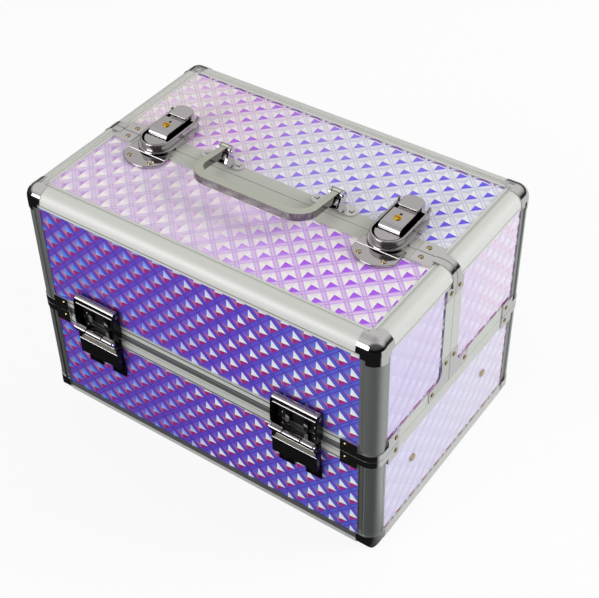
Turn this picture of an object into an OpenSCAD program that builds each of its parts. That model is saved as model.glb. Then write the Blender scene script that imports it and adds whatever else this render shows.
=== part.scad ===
// Makeup train case: a base box under two lids that part along the top, with cantilever trays inside.
// X runs along the long front, Y from front to back and Z up. The origin lies on the table under the middle.

/* [Case] */
// Width over the end faces
case_w = 360; // [320:1:400]
// Depth over the front and back faces
case_d = 242; // [236:1:270]
// Height from the table to the top faces
case_h = 238; // [236:1:270]
// Height of the seam between the base and the lids
seam_z = 110; // [104:1:114]
// Depth of the front lid, from the front face to the split along the top
front_d = 113.5; // [112:0.5:118]

/* [Edges] */
// Width that an edge rail covers on each of its faces
rail_leg = 17.5; // [16.5:0.5:20]
// Radius of the round back of an edge rail
rail_r = 12; // [10.5:0.5:13]
// Depth of a rail's flat flange below its round back
flange_drop = 1.2; // [0.9:0.1:1.3]
// Width of the strips beside the seam and the split
strip_w = 13; // [12:0.5:15]
// Depth of the strips below the faces
strip_drop = 0.8; // [0.6:0.1:1]
// Thickness of the strips' folded metal
strip_t = 1.2; // [1:0.1:1.6]
// Height of the trim along the bottom
trim_h = 11; // [9:0.5:13]

/* [Walls] */
// Depth of the boards below the faces
board_drop = 3.2; // [3:0.1:3.6]
// Thickness of the boards
board_t = 4.5; // [3.5:0.1:5]
// Thickness of the embossed sheet, over its peaks
sheet_t = 1.8; // [1.5:0.1:2]
// Thickness of the lining
lining_t = 1; // [0.8:0.1:1.2]

/* [Corner fittings] */
// Thickness of the pressed caps and plates
plate_t = 0.7; // [0.6:0.1:1]
// Height of a corner shoe
shoe_h = 13; // [12:0.5:18]
// Reach of a top corner cap along each edge
cap_reach = 21; // [19:0.5:28]
// Reach of a seam corner plate from the corner
seam_plate_reach = 34; // [30:0.5:40]
// Reach of a split corner plate from the split and from the seam
split_plate_reach = 32; // [30:0.5:40]
// Radius of a rivet head
rivet_r = 2.4; // [1.8:0.1:2.8]

/* [Hinges and latches] */
// Distance of the hinges and latches in from the end faces
latch_in = 73.5; // [65:0.5:90]
// Width of a latch
latch_w = 46; // [42:1:52]
// Height of a latch keeper above the seam
keeper_h = 33; // [30:0.5:36]
// Height of a latch plate below the seam
latch_drop = 49; // [47:0.5:56]
// Distance of the front hinge axis out from the front face
front_axis_out = 11; // [10.5:0.5:14]
// Distance of the rear hinge axis out from the back face
rear_axis_out = 5; // [5:0.5:8]
// Radius of a hinge knuckle
knuckle_r = 3.5; // [3:0.1:3.8]
// Radius of a hinge pin
pin_r = 1.5; // [1.2:0.1:1.8]

/* [Top locks] */
// Distance of the locks in from the end faces
lock_in = 61.5; // [56:0.5:70]
// Width of a lock
lock_w = 35; // [33:0.5:39]
// Reach of a lock in front of the split
lock_front = 20.5; // [19:0.5:23]
// Reach of a lock behind the split
lock_back = 44; // [40:0.5:48]
// Height of a lock's rim above the top face
lock_h = 10.5; // [10:0.5:13]
// Radius of the key cylinder
key_r = 3.4; // [2.8:0.1:3.8]

/* [Handle] */
// Distance of each handle bracket from the middle
handle_x = 57.5; // [50:0.5:64]
// Distance of the handle's pins behind the split
handle_pin_back = 15.5; // [14:0.5:20]
// Height of the handle's pins above the top face
handle_pin_up = 9; // [8.5:0.5:12]
// Reach of the handle from its pins to the middle of the grip
handle_reach = 49; // [44:1:60]
// Width of the handle's grip, seen from above
grip_w = 9; // [8:0.5:11]
// Thickness of the handle
handle_t = 7; // [6:0.5:8]
// Tilt of the handle at rest, grip raised
handle_tilt = 6; // [4:0.5:9]

/* [Trays] */
// Distance of the arms' upper pivots from the split, in the shallower lid
arm_back = 9.7; // [8:0.1:12]
// Height of the arm pivots
arm_z = 63; // [58:0.5:66]
// Space between the upper trays and the lids' lining
tray_head = 12.3; // [10:0.1:16]
// Space between the lower trays and the upper ones
tray_gap = 1.7; // [1:0.1:3]
// Lean of the arms when the case is closed
arm_lean = 20; // [18:0.5:21]
// Thickness of the arms
arm_t = 2; // [1.5:0.1:2.4]
// Height of the lower trays
tray_low_h = 40; // [36:0.5:41]
// Height of the upper trays
tray_high_h = 44; // [36:0.5:46]
// Wall of the trays
tray_wall = 1.8; // [1.4:0.1:2.4]
// Distance of the trays in from the front and back faces
tray_in = 20; // [19:0.5:24]

/* [Gaps] */
// Gap at the seam and at the split
seam_gap = 0.6; // [0.5:0.1:1]
// Clearance around a pin that turns
run_gap = 0.05; // [0.02:0.01:0.1]
// Clearance beside pieces that turn past each other
side_gap = 0.5; // [0.4:0.1:0.8]

/* [Hidden] */
$fn = 48;
eps = 0.01;

// The case stands so that the middle of its whole depth, knuckles included, is at Y 0
front_reach = front_axis_out + knuckle_r;
rear_reach = rear_axis_out + knuckle_r;
mid_y = (front_reach - rear_reach) / 2;
front_y = mid_y - case_d / 2;
back_y = mid_y + case_d / 2;
split_y = front_y + front_d;
rear_d = case_d - front_d;
half_w = case_w / 2;
latch_x = half_w - latch_in;
lock_x = half_w - lock_in;
face_w = case_w - 2 * rail_leg;
half_gap = seam_gap / 2;
// Layers of a wall, measured in from the face
board_in = board_drop + board_t;
lining_in = board_in + lining_t;
strip_in = board_in + strip_t;
sheet_drop = board_drop - sheet_t;
strip_fold = 10;
// The case's bottom: shoes on the table, trim above it, then the floor board
shoe_floor = 1;
floor_z = shoe_floor + strip_t;
floor_in_z = floor_z + board_t;

// ---------- outlines ----------

// A rectangle with round corners, seen from above, drawn in from the faces
module plan(inset, r) {
  w = case_w - 2 * inset;
  d = case_d - 2 * inset;
  translate([0, mid_y]) {
    square([w - 2 * r, d], center = true);
    square([w, d - 2 * r], center = true);
    for (sx = [-1, 1], sy = [-1, 1]) translate([sx * (w / 2 - r), sy * (d / 2 - r)]) circle(r);
  }
}

// An upright outline with round top corners, centred, from the table up
module arch(width, inset, r) {
  w = width - 2 * inset;
  top = case_h - inset;
  translate([-w / 2, 0]) square([w, top - r]);
  translate([-(w / 2 - r), 0]) square([w - 2 * r, top]);
  for (s = [-1, 1]) translate([s * (w / 2 - r), top - r]) circle(r);
}

// Draws an outline of Y and Z along X
module along_x(length) {
  rotate([90, 0, 90]) linear_extrude(length, center = true) children();
}

// Draws an outline of X and Z along Y, from y0 to y1
module along_y(y0, y1) {
  translate([0, y1, 0]) rotate([90, 0, 0]) linear_extrude(y1 - y0) children();
}

// The closed case's outer shape, drawn in from the faces
module case_shape(inset, r) {
  intersection() {
    linear_extrude(case_h + plate_t) plan(inset, r);
    along_x(2 * case_w) translate([mid_y, 0]) arch(case_d, inset, r);
    along_y(front_y - case_d, back_y + case_d) arch(case_w, inset, r);
  }
}

// A block between two corners
module block(a, b) {
  translate(a) cube([b[0] - a[0], b[1] - a[1], b[2] - a[2]]);
}

// Puts a piece drawn for the front lid at the front or, turned round, at the back
module at_wall(rear) {
  if (rear) translate([0, back_y, 0]) mirror([0, 1, 0]) children();
  else translate([0, front_y, 0]) children();
}

module both_ends() {
  children();
  mirror([1, 0, 0]) children();
}

// The space of one lid, kept back from the seam and the split
module lid_space(rear, seam_back, split_back) {
  d = rear ? rear_d : front_d;
  at_wall(rear) block([-case_w, -case_d, seam_z + seam_back], [case_w, d - split_back, 2 * case_h]);
}

// ---------- edge rails ----------

// Section of an edge rail, measured in from its two faces
module rail_section() {
  board_r = rail_r - board_drop + flange_drop;
  difference() {
    union() {
      intersection() {
        square(rail_r);
        translate([rail_r, rail_r]) circle(rail_r);
      }
      translate([rail_r - eps, flange_drop]) square([rail_leg - rail_r + eps, board_drop - flange_drop]);
      translate([flange_drop, rail_r - eps]) square([board_drop - flange_drop, rail_leg - rail_r + eps]);
    }
    translate([board_drop + board_r, board_drop + board_r]) circle(board_r);
    translate([board_drop + board_r, board_drop]) square(rail_leg);
    translate([board_drop, board_drop + board_r]) square(rail_leg);
  }
}

// Radius of the boards' rounded edges, which the rails close over
board_r = rail_r - board_drop + flange_drop;

module post(z0, z1) {
  translate([-half_w, 0, z0]) linear_extrude(z1 - z0) rail_section();
}

module lid_rails(rear) {
  d = rear ? rear_d : front_d;
  at_wall(rear) {
    translate([0, 0, case_h]) along_x(face_w) mirror([0, 1]) rail_section();
    both_ends() {
      translate([-half_w, 0, case_h]) along_y(rail_leg, d - half_gap) mirror([0, 1]) rail_section();
      post(seam_z + half_gap, case_h - rail_leg);
    }
  }
}

// ---------- boards, sheets and linings ----------

module lid_box(rear) {
  intersection() {
    difference() {
      case_shape(board_drop, board_r);
      case_shape(board_in, board_r - board_t);
    }
    lid_space(rear, half_gap + strip_t, half_gap + strip_t);
  }
}

module lid_lining(rear) {
  intersection() {
    difference() {
      case_shape(board_in, board_r - board_t);
      case_shape(lining_in, board_r - board_t - lining_t);
    }
    lid_space(rear, half_gap + strip_fold, half_gap + strip_fold);
  }
}

// The embossed sheet on the lid's long upright face
module lid_wall_sheet(rear) {
  at_wall(rear) {
    block([-face_w / 2, sheet_drop, seam_z + strip_w], [face_w / 2, board_drop, case_h - rail_leg]);
  }
}

module lid_top_sheet(rear) {
  d = rear ? rear_d : front_d;
  at_wall(rear) {
    block([-face_w / 2, rail_leg, case_h - board_drop], [face_w / 2, d - strip_w, case_h - sheet_drop]);
  }
}

module lid_end_sheets(rear) {
  d = rear ? rear_d : front_d;
  at_wall(rear) both_ends() {
    block([half_w - board_drop, rail_leg, seam_z + strip_w], [half_w - sheet_drop, d - strip_w, case_h - rail_leg]);
  }
}

module base_wall_sheet(rear) {
  at_wall(rear) {
    block([-face_w / 2, sheet_drop, trim_h], [face_w / 2, board_drop, seam_z - strip_w]);
  }
}

// ---------- strips along the seam and the split ----------

// Outline of the strips' outer legs, which stop at the posts
module strip_legs(drop) {
  difference() {
    plan(drop, board_r);
    plan(board_drop, board_r);
    for (sx = [-1, 1], sy = [-1, 1]) {
      translate([sx * half_w, mid_y + sy * case_d / 2]) square(2 * rail_leg, center = true);
    }
  }
}

// The strips' web over the boards' edges, and their inner fold
module strip_core(z_web, z_fold, up) {
  translate([0, 0, up ? z_web : z_web - strip_t]) linear_extrude(strip_t) difference() {
    plan(board_drop, board_r);
    plan(strip_in, board_r - board_t - strip_t);
  }
  translate([0, 0, up ? z_web : z_fold]) linear_extrude(abs(z_fold - z_web)) difference() {
    plan(board_in, board_r - board_t);
    plan(strip_in, board_r - board_t - strip_t);
  }
}

lip_h = 5.5;
lip_drop = 2.2;

// Cuts the stepped lip into the long strips, on both sides of the seam
module lip_cut() {
  for (s = [0, 1]) at_wall(s == 1) {
    block([-half_w, -eps, seam_z - lip_h], [half_w, lip_drop, seam_z + lip_h]);
  }
}

module base_rim() {
  color("silver") union() {
    strip_core(seam_z - half_gap, seam_z - half_gap - strip_fold, false);
    difference() {
      translate([0, 0, seam_z - strip_w]) linear_extrude(strip_w - half_gap) strip_legs(strip_drop);
      lip_cut();
    }
  }
}

// The lid's side of the corner where the seam strip meets the split strip, cut at 45 degrees
module mitre(rear, below) {
  d = rear ? rear_d : front_d;
  reach = 2 * strip_w;
  at_wall(rear) along_x(2 * case_w) translate([d, seam_z]) {
    if (below) polygon([[0, 0], [-reach, reach], [-case_d, reach], [-case_d, -reach], [0, -reach]]);
    else polygon([[0, 0], [-reach, reach], [-reach, case_h], [reach, case_h], [reach, 0]]);
  }
}

module lid_rim(rear) {
  intersection() {
    union() {
      strip_core(seam_z + half_gap, seam_z + half_gap + strip_fold, true);
      difference() {
        intersection() {
          translate([0, 0, seam_z + half_gap]) linear_extrude(strip_w - half_gap) strip_legs(strip_drop);
          mitre(rear, true);
        }
        lip_cut();
      }
    }
    lid_space(rear, 0, half_gap);
  }
}

// The strip round the opening that faces the other lid
module lid_split_trim(rear) {
  d = rear ? rear_d : front_d;
  legs_z = seam_z + half_gap;
  at_wall(rear) {
    // Web over the boards' edges
    along_y(d - half_gap - strip_t, d - half_gap) difference() {
      arch(case_w, board_drop, board_r);
      arch(case_w, strip_in, board_r - board_t - strip_t);
      translate([-case_w, 0]) square([2 * case_w, legs_z + strip_t]);
      translate([-half_w + board_in, 0]) square([case_w - 2 * board_in, legs_z + strip_fold]);
    }
    // Inner fold
    along_y(d - half_gap - strip_fold, d - half_gap) difference() {
      arch(case_w, board_in, board_r - board_t);
      arch(case_w, strip_in, board_r - board_t - strip_t);
      translate([-case_w, 0]) square([2 * case_w, legs_z + strip_fold]);
    }
    block([-face_w / 2, d - strip_w, case_h - board_drop], [face_w / 2, d - half_gap, case_h - strip_drop]);
  }
  intersection() {
    at_wall(rear) both_ends() {
      block([half_w - board_drop, d - strip_w, legs_z], [half_w - strip_drop, d - half_gap, case_h - rail_leg]);
    }
    mitre(rear, false);
  }
}

// ---------- corner caps and plates ----------

// Space near a top corner of a lid where at least two faces are within the rail's round back
module corner_space(rear, side, reach) {
  at_wall(rear) mirror([side < 0 ? 0 : 1, 0, 0]) translate([-half_w, 0, case_h]) {
    block([-plate_t, -plate_t, -reach], [rail_r, rail_r, plate_t]);
    block([-plate_t, -plate_t, -rail_r], [reach, rail_r, plate_t]);
    block([-plate_t, -plate_t, -rail_r], [rail_r, reach, plate_t]);
  }
}

// What is taken off a corner, outside its ball
module corner_round(rear, side) {
  at_wall(rear) mirror([side < 0 ? 0 : 1, 0, 0]) translate([-half_w, 0, case_h]) difference() {
    block([-2 * plate_t, -2 * plate_t, -rail_r], [rail_r, rail_r, 2 * plate_t]);
    translate([rail_r, rail_r, -rail_r]) sphere(rail_r + plate_t);
  }
}

module lid_corner_caps(rear) {
  for (side = [-1, 1]) difference() {
    lid_corner_cap(rear, side);
    corner_round(rear, side);
  }
}

module lid_corner_cap(rear, side) {
  intersection() {
    difference() {
      case_shape(-plate_t, rail_r + plate_t);
      case_shape(0, rail_r);
    }
    corner_space(rear, side, cap_reach);
  }
  intersection() {
    difference() {
      case_shape(0, rail_r);
      case_shape(board_drop, board_r);
    }
    at_wall(rear) mirror([side < 0 ? 0 : 1, 0, 0]) translate([-half_w, 0, case_h - rail_leg]) {
      cube(rail_leg);
    }
  }
}

// A seam plate wraps its post and lies on the strips at both sides of it
module seam_plate(z0, z_band, z1) {
  band = min(z_band, z1);
  translate([0, 0, min(z0, z_band)]) linear_extrude(abs(z_band - z0)) difference() {
    corner_patch(seam_plate_reach) plan(-plate_t, rail_r + plate_t);
    plan(0, rail_r);
  }
  translate([0, 0, min(z0, z1)]) linear_extrude(abs(z1 - z0)) difference() {
    corner_patch(seam_plate_reach) plan(-plate_t, rail_r + plate_t);
    corner_patch(rail_leg) plan(-2 * plate_t, rail_r);
    plan(strip_drop, board_r);
  }
}

// Keeps the part of an outline near the front left corner
module corner_patch(reach) {
  intersection() {
    children();
    translate([-half_w - 2 * plate_t, front_y - 2 * plate_t]) square(reach + 2 * plate_t);
  }
}

module seam_plates_lid(rear) {
  turn = rear ? 1 : 0;
  translate([0, mid_y, 0]) mirror([0, turn, 0]) translate([0, -mid_y, 0]) both_ends() {
    seam_plate(seam_z + half_gap, seam_z + 7, seam_z + strip_w + 1);
  }
}

// L plate over the mitred corner at the foot of the split, outline in from the split and up from the seam
module split_foot_outline() {
  fillet = 8;
  square([split_plate_reach, strip_w - half_gap]);
  square([strip_w - half_gap, split_plate_reach]);
  translate([strip_w - half_gap, strip_w - half_gap]) difference() {
    square(fillet);
    translate([fillet, fillet]) circle(fillet);
  }
}

band_w = 6;

module lid_split_plates(rear) {
  d = rear ? rear_d : front_d;
  out = half_w + plate_t - strip_drop / 2;
  at_wall(rear) both_ends() {
    // L plate at the foot
    translate([half_w - strip_drop, d - half_gap, seam_z + half_gap]) rotate([90, 0, 90]) {
      linear_extrude(plate_t) mirror([1, 0]) split_foot_outline();
    }
    // Plate on the top strip
    block([half_w - rail_leg - strip_w - 6, d - strip_w, case_h - strip_drop],
      [half_w - rail_leg, d - half_gap, case_h - strip_drop + plate_t]);
    // Plate on the end strip
    block([half_w - strip_drop, d - strip_w, case_h - rail_leg - strip_w],
      [half_w - strip_drop + plate_t, d - half_gap, case_h - rail_leg]);
    // Band over the rail between them
    along_y(d - half_gap - band_w, d - half_gap) intersection() {
      difference() {
        arch(case_w, -plate_t, rail_r + plate_t);
        arch(case_w, 0, rail_r);
      }
      translate([half_w - rail_leg, case_h - rail_leg]) square(rail_leg + plate_t);
    }
    // Steps that join the band to its plates
    block([half_w - rail_leg - 2, d - half_gap - band_w, case_h - strip_drop + plate_t],
      [half_w - rail_leg, d - half_gap, case_h + plate_t]);
    block([half_w - strip_drop + plate_t, d - half_gap - band_w, case_h - rail_leg - 2],
      [half_w + plate_t, d - half_gap, case_h - rail_leg]);
  }
}

// ---------- rivets ----------

rivet_h = 1.1;

// A domed rivet head that points up
module rivet() {
  cylinder(h = rivet_h, r1 = rivet_r, r2 = rivet_r * 0.62);
}

module rivet_front(x, y, z) {
  translate([x, y, z]) rotate([90, 0, 0]) rivet();
}

module rivet_end(x, y, z) {
  translate([x, y, z]) rotate([0, 90, 0]) rivet();
}

module lid_rivets(rear) {
  d = rear ? rear_d : front_d;
  strip_mid = strip_w / 2;
  at_wall(rear) both_ends() {
    rivet_front(half_w - seam_plate_reach + 5, -plate_t, seam_z + strip_mid + 2);
    rivet_end(half_w + plate_t, seam_plate_reach - 5, seam_z + strip_mid + 2);
    rivet_end(half_w - strip_drop + plate_t, d - strip_mid, seam_z + split_plate_reach - 5);
    rivet_end(half_w - strip_drop + plate_t, d - split_plate_reach + 5, seam_z + strip_mid);
    rivet_end(half_w - strip_drop + plate_t, d - strip_mid, case_h - rail_leg - strip_mid);
    translate([half_w - rail_leg - strip_w + 1, d - strip_mid, case_h - strip_drop + plate_t]) rivet();
  }
}

module base_rivets() {
  color("lightgray") {
    for (s = [0, 1]) at_wall(s == 1) both_ends() {
      rivet_front(half_w - seam_plate_reach + 5, -plate_t, seam_z - strip_w / 2);
      rivet_end(half_w + plate_t, seam_plate_reach - 5, seam_z - strip_w / 2);
      arm_pin();
    }
    at_wall(false) latch_places() for (s = [-1, 1]) {
      rivet_front(s * latch_ear_x, -plate_out, seam_z - latch_drop + latch_ear_h / 2);
    }
    at_wall(true) latch_places() for (s = [-1, 0, 1]) {
      rivet_front(s * leaf_w / 3, -plate_out, seam_z - knuckle_r - leaf_h / 2);
    }
  }
}

// ---------- bottom ----------

module base_box() {
  color("dimgray") difference() {
    translate([0, 0, floor_z]) linear_extrude(seam_z - half_gap - strip_t - floor_z) plan(board_drop, board_r);
    translate([0, 0, floor_in_z]) linear_extrude(case_h) plan(board_in, board_r - board_t);
    arm_holes();
  }
}

module base_lining() {
  color("black") difference() {
    translate([0, 0, floor_in_z]) {
      linear_extrude(seam_z - half_gap - strip_fold - floor_in_z) plan(board_in, board_r - board_t);
    }
    translate([0, 0, floor_in_z + lining_t]) linear_extrude(case_h) plan(lining_in, board_r - board_t - lining_t);
    arm_holes();
  }
}

module base_end_sheets() {
  color("thistle") both_ends() difference() {
    block([half_w - board_drop, front_y + rail_leg, trim_h],
      [half_w - sheet_drop, back_y - rail_leg, seam_z - strip_w]);
    arm_holes();
  }
}

module base_posts() {
  color("silver") for (s = [0, 1]) at_wall(s == 1) both_ends() post(shoe_h, seam_z - half_gap);
}

module base_bottom_trim() {
  foot_in = 14;
  color("silver") {
    for (s = [0, 1]) at_wall(s == 1) {
      block([-face_w / 2, strip_drop, shoe_floor], [face_w / 2, foot_in, floor_z]);
      block([-face_w / 2, strip_drop, shoe_floor], [face_w / 2, board_drop, trim_h]);
    }
    both_ends() {
      block([half_w - foot_in, front_y + rail_leg, shoe_floor], [half_w - strip_drop, back_y - rail_leg, floor_z]);
      block([half_w - board_drop, front_y + rail_leg, shoe_floor],
        [half_w - strip_drop, back_y - rail_leg, trim_h]);
    }
  }
}

module corner_shoes() {
  foot_r = 7;
  color("darkgray") intersection() {
    difference() {
      linear_extrude(shoe_h + 2) difference() {
        plan(-plate_t, rail_r + plate_t);
        square([face_w, 2 * case_d], center = true);
        translate([0, mid_y]) square([2 * case_w, case_d - 2 * rail_leg], center = true);
      }
      translate([0, 0, shoe_h]) linear_extrude(case_h) plan(0, rail_r);
      translate([0, 0, floor_z]) linear_extrude(case_h) plan(board_drop, board_r);
    }
    along_x(2 * case_w) translate([mid_y, 0]) foot_outline(case_d, foot_r);
    along_y(-case_d, case_d) foot_outline(case_w, foot_r);
  }
}

// Upright outline with round bottom corners
module foot_outline(width, r) {
  w = width + 2 * plate_t;
  translate([-w / 2, r]) square([w, shoe_h * 2]);
  translate([-w / 2 + r, 0]) square([w - 2 * r, shoe_h * 2]);
  for (s = [-1, 1]) translate([s * (w / 2 - r), r]) circle(r);
}

module base_seam_plates() {
  color("gray") for (turn = [0, 1]) {
    translate([0, mid_y, 0]) mirror([0, turn, 0]) translate([0, -mid_y, 0]) both_ends() {
      seam_plate(seam_z - half_gap, seam_z - 7, seam_z - strip_w - 1);
    }
  }
}

// ---------- latches and hinges ----------

plate_out = 0.8;
latch_ear_x = 13.7;
latch_ear_h = 15;
cheek_t = 1.6;
leaf_w = 50;
leaf_h = 20;
knuckle_mid = 9;

module latch_places() {
  for (s = [-1, 1]) translate([s * latch_x, 0, 0]) children();
}

// Outline of out-from-the-face and height, drawn across the latch or hinge from x0 to x1
module across(x0, x1) {
  translate([x0, 0, seam_z]) rotate([90, 0, 90]) linear_extrude(x1 - x0) mirror([1, 0]) children();
}

// Outlines below are in from the hinge: first out from the face, then up from the seam
module knuckle_outline(axis_out, web_from, web_to) {
  difference() {
    union() {
      translate([axis_out, 0]) circle(knuckle_r);
      translate([-strip_drop, web_from]) square([axis_out + strip_drop, web_to - web_from]);
    }
    translate([axis_out, 0]) circle(pin_r + run_gap);
  }
}

// Lever's pin, out from the face and below the seam
lever_out = 5.5;
lever_down = 9;

lever_half = latch_w / 2 - 0.5;
lever_face = lever_out + 3.1;
lever_fold = latch_drop / 2 - 8.5;
lever_end = latch_drop - 17;
lever_t = 1.6;
lever_wall = 1.6;
lug_r = 3.2;

module latch_base() {
  half = lever_half - lever_wall - side_gap;
  across(-half, half) {
    translate([-strip_drop, -latch_drop + latch_ear_h]) square([strip_drop + plate_out, latch_drop - latch_ear_h - 4]);
  }
  for (s = [-1, 1]) {
    across(s * latch_ear_x - 8, s * latch_ear_x + 8) {
      translate([-strip_drop, -latch_drop]) square([strip_drop + plate_out, latch_ear_h]);
    }
    // Cheeks that hold the lever's pin
    x = s * (half - cheek_t / 2);
    across(x - cheek_t / 2, x + cheek_t / 2) {
      translate([plate_out - eps, -lever_down - 3]) square([lever_out - plate_out, 6]);
      translate([lever_out, -lever_down]) circle(3);
    }
  }
  across(-half, half) translate([lever_out, -lever_down]) circle(pin_r);
  across(-knuckle_mid, knuckle_mid) difference() {
    knuckle_outline(front_axis_out, -knuckle_r - 1, -knuckle_r + 1.5);
    translate([front_axis_out, 0]) circle(pin_r);
  }
}

module latch_bases() {
  color("dimgray") at_wall(false) latch_places() latch_base();
}

// The lever's shell hangs below its pin: a sloping shoulder, then a flat upright face
module lever_outline() {
  shoulder_out = lever_out - 1;
  shoulder = -lever_fold + (lever_face - shoulder_out) * 0.7;
  polygon([[shoulder_out, shoulder], [lever_face, -lever_fold], [lever_face, -lever_end],
    [lever_face - lever_t, -lever_end], [lever_face - lever_t, -lever_fold - 1.2], [shoulder_out, shoulder - 2]]);
}

module latch_lever() {
  half = lever_half;
  difference() {
    union() {
      across(-half, half) lever_outline();
      for (s = [-1, 1]) {
        x = s * (half - lever_wall / 2);
        across(x - lever_wall / 2, x + lever_wall / 2) {
          translate([lever_out, -lever_down]) circle(lug_r);
          polygon([[lever_out - lug_r, -lever_down], [lever_out + lug_r, -lever_down], [lever_face, -lever_fold],
            [lever_face, -lever_end], [lever_out - 0.5, -lever_end], [2.4, -lever_down - 6]]);
        }
      }
    }
    across(-half, half) translate([lever_out, -lever_down]) circle(pin_r + run_gap);
  }
}

module lever_at(s) {
  color("gray") at_wall(false) translate([s * latch_x, 0, 0]) latch_lever();
}

module latch_keeper() {
  half = latch_w / 2;
  roll_r = 4.3;
  roll_out = 4.6;
  roll_z = keeper_h - roll_r;
  across(-half, half) {
    translate([-strip_drop, 5]) square([strip_drop + plate_out, keeper_h - 9]);
    translate([roll_out, roll_z]) circle(roll_r);
  }
  // Cheeks, ribs and knuckles
  for (s = [-1, 1]) {
    x = s * (half - cheek_t / 2);
    across(x - cheek_t / 2, x + cheek_t / 2) {
      polygon([[0, 1], [front_axis_out - 1, 4], [front_axis_out - 1.5, 14], [roll_out + roll_r, roll_z], [0, roll_z]]);
    }
    across(s * 9 - 2, s * 9 + 2) translate([plate_out - eps, 6]) square([3.5, 18]);
    k0 = s > 0 ? knuckle_mid + side_gap : -half + cheek_t;
    k1 = s > 0 ? half - cheek_t : -knuckle_mid - side_gap;
    across(k0, k1) knuckle_outline(front_axis_out, 2.4, 4.6);
  }
}

module latch_keepers() {
  color("dimgray") at_wall(false) latch_places() latch_keeper();
}

module hinge_leaf(up) {
  half = leaf_w / 2;
  dir = up ? 1 : -1;
  leaf_from = knuckle_r + 0.4;
  across(-half, half) {
    translate([-strip_drop, up ? leaf_from : -leaf_from - leaf_h]) square([strip_drop + plate_out, leaf_h]);
  }
  if (up) {
    for (s = [-1, 1]) {
      k0 = s > 0 ? knuckle_mid + side_gap : -half;
      k1 = s > 0 ? half : -knuckle_mid - side_gap;
      across(k0, k1) knuckle_outline(rear_axis_out, knuckle_r - 1.4, knuckle_r + 1);
    }
  } else {
    across(-knuckle_mid, knuckle_mid) difference() {
      knuckle_outline(rear_axis_out, -knuckle_r - 1, -knuckle_r + 1.4);
      translate([rear_axis_out, 0]) circle(pin_r);
    }
  }
}

module hinge_lower_leaves() {
  color("silver") at_wall(true) latch_places() hinge_leaf(false);
}

module hinge_upper_leaves() {
  color("silver") at_wall(true) latch_places() hinge_leaf(true);
}

module hinge_pins() {
  color("silver") {
    at_wall(false) latch_places() across(-latch_w / 2, latch_w / 2) translate([front_axis_out, 0]) circle(pin_r);
    at_wall(true) latch_places() across(-leaf_w / 2, leaf_w / 2) translate([rear_axis_out, 0]) circle(pin_r);
  }
}

// ---------- top locks ----------

module lock_places() {
  for (s = [-1, 1]) translate([s * lock_x, split_y, case_h]) children();
}

// Outline with round ends, from y0 to y1
module stadium(w, y0, y1) {
  r = w / 2;
  translate([0, y0 + r]) circle(r);
  translate([0, y1 - r]) circle(r);
  translate([-r, y0 + r]) square([w, y1 - y0 - w]);
}

strike_front = 37;
strike_w = 41;
strike_t = 1.4;

module strike_plates() {
  color("silver") lock_places() difference() {
    translate([0, 0, -sheet_drop]) linear_extrude(strike_t + sheet_drop - 0.8) intersection() {
      translate([-strike_w / 2, -strike_front]) square([strike_w, strike_front - 9]);
      translate([0, -strike_front + 25]) circle(25);
    }
    block([-strike_w, -strip_w, -3], [strike_w, 1, -strip_drop]);
  }
}

lock_clear = 2.4;
lock_floor = 6;
rim_t = 2.6;
ring_w = lock_w - 4;
bed_w = ring_w - 2 * rim_t;
bed_front = -lock_front + 2 + rim_t;
ring_end = lock_back - 8.5;
// The lever turns in its rounded front edge
lever_lock_w = bed_w - 5.3;
lever_r = 5;
lever_y = 1.5;
lever_z = lock_h - 1.5;
lever_pin_r = 1.4;

module lock_base() {
  difference() {
    union() {
      translate([0, 0, lock_clear]) linear_extrude(lock_floor - 1 - lock_clear) stadium(lock_w, -lock_front, lock_back);
      translate([0, 0, lock_clear]) linear_extrude(lock_h - lock_clear) stadium(ring_w, -lock_front + 2, lock_back - 2);
      // Seat on the rear lid
      translate([0, 0, -sheet_drop]) linear_extrude(lock_clear + sheet_drop) stadium(lock_w, -lock_front, lock_back);
    }
    block([-lock_w, -case_d, -3], [lock_w, half_gap, lock_clear]);
    block([-lock_w, 0, -3], [lock_w, strip_w, -strip_drop]);
    // Bed of the lever, whose rim ends short of the tongue
    translate([0, 0, lock_floor]) linear_extrude(lock_h) stadium(bed_w, bed_front, 2 * lock_back);
    block([-lock_w, ring_end, lock_floor], [lock_w, 2 * lock_back, lock_h + 1]);
    // Pocket under the lever's front edge
    block([-bed_w / 2 + 1, lever_y - lever_r - side_gap, lever_z - lever_r - 0.4],
      [bed_w / 2 - 1, lever_y + lever_r + side_gap, lock_floor + 1]);
  }
  // Raised plate in front of the lever
  translate([0, 0, lock_floor - 0.5]) linear_extrude(3.5) intersection() {
    stadium(bed_w - 2, bed_front + 1, lock_back);
    translate([-lock_w / 2, bed_front]) square([lock_w, lever_y - lever_r - side_gap - bed_front]);
  }
  translate([0, lever_y, lever_z]) rotate([0, 90, 0]) cylinder(h = bed_w + 1, r = lever_pin_r, center = true);
}

module lock_bases() {
  color("silver") lock_places() lock_base();
}

plate_z0 = lever_z + 1;
plate_z1 = lever_z + lever_r;
lock_tail = 23;
plate_end = lock_back - lock_tail;
tongue_back = lock_back + 3;
key_y = 10;

module lock_lever() {
  w = lever_lock_w;
  difference() {
    union() {
      translate([0, lever_y, lever_z]) rotate([0, 90, 0]) cylinder(h = w, r = lever_r, center = true);
      block([-w / 2, lever_y, plate_z0], [w / 2, plate_end, plate_z1]);
      translate([0, 0, plate_z0]) linear_extrude(2.4) difference() {
        stadium(w - 1.5, lever_y, tongue_back);
        translate([-w, -w]) square([2 * w, w + plate_end - 2]);
      }
    }
    translate([0, lever_y, lever_z]) rotate([0, 90, 0]) cylinder(h = w + 2, r = lever_pin_r + run_gap, center = true);
    translate([0, key_y, 0]) cylinder(h = 2 * plate_z1, r = key_r + run_gap);
  }
}

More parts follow.
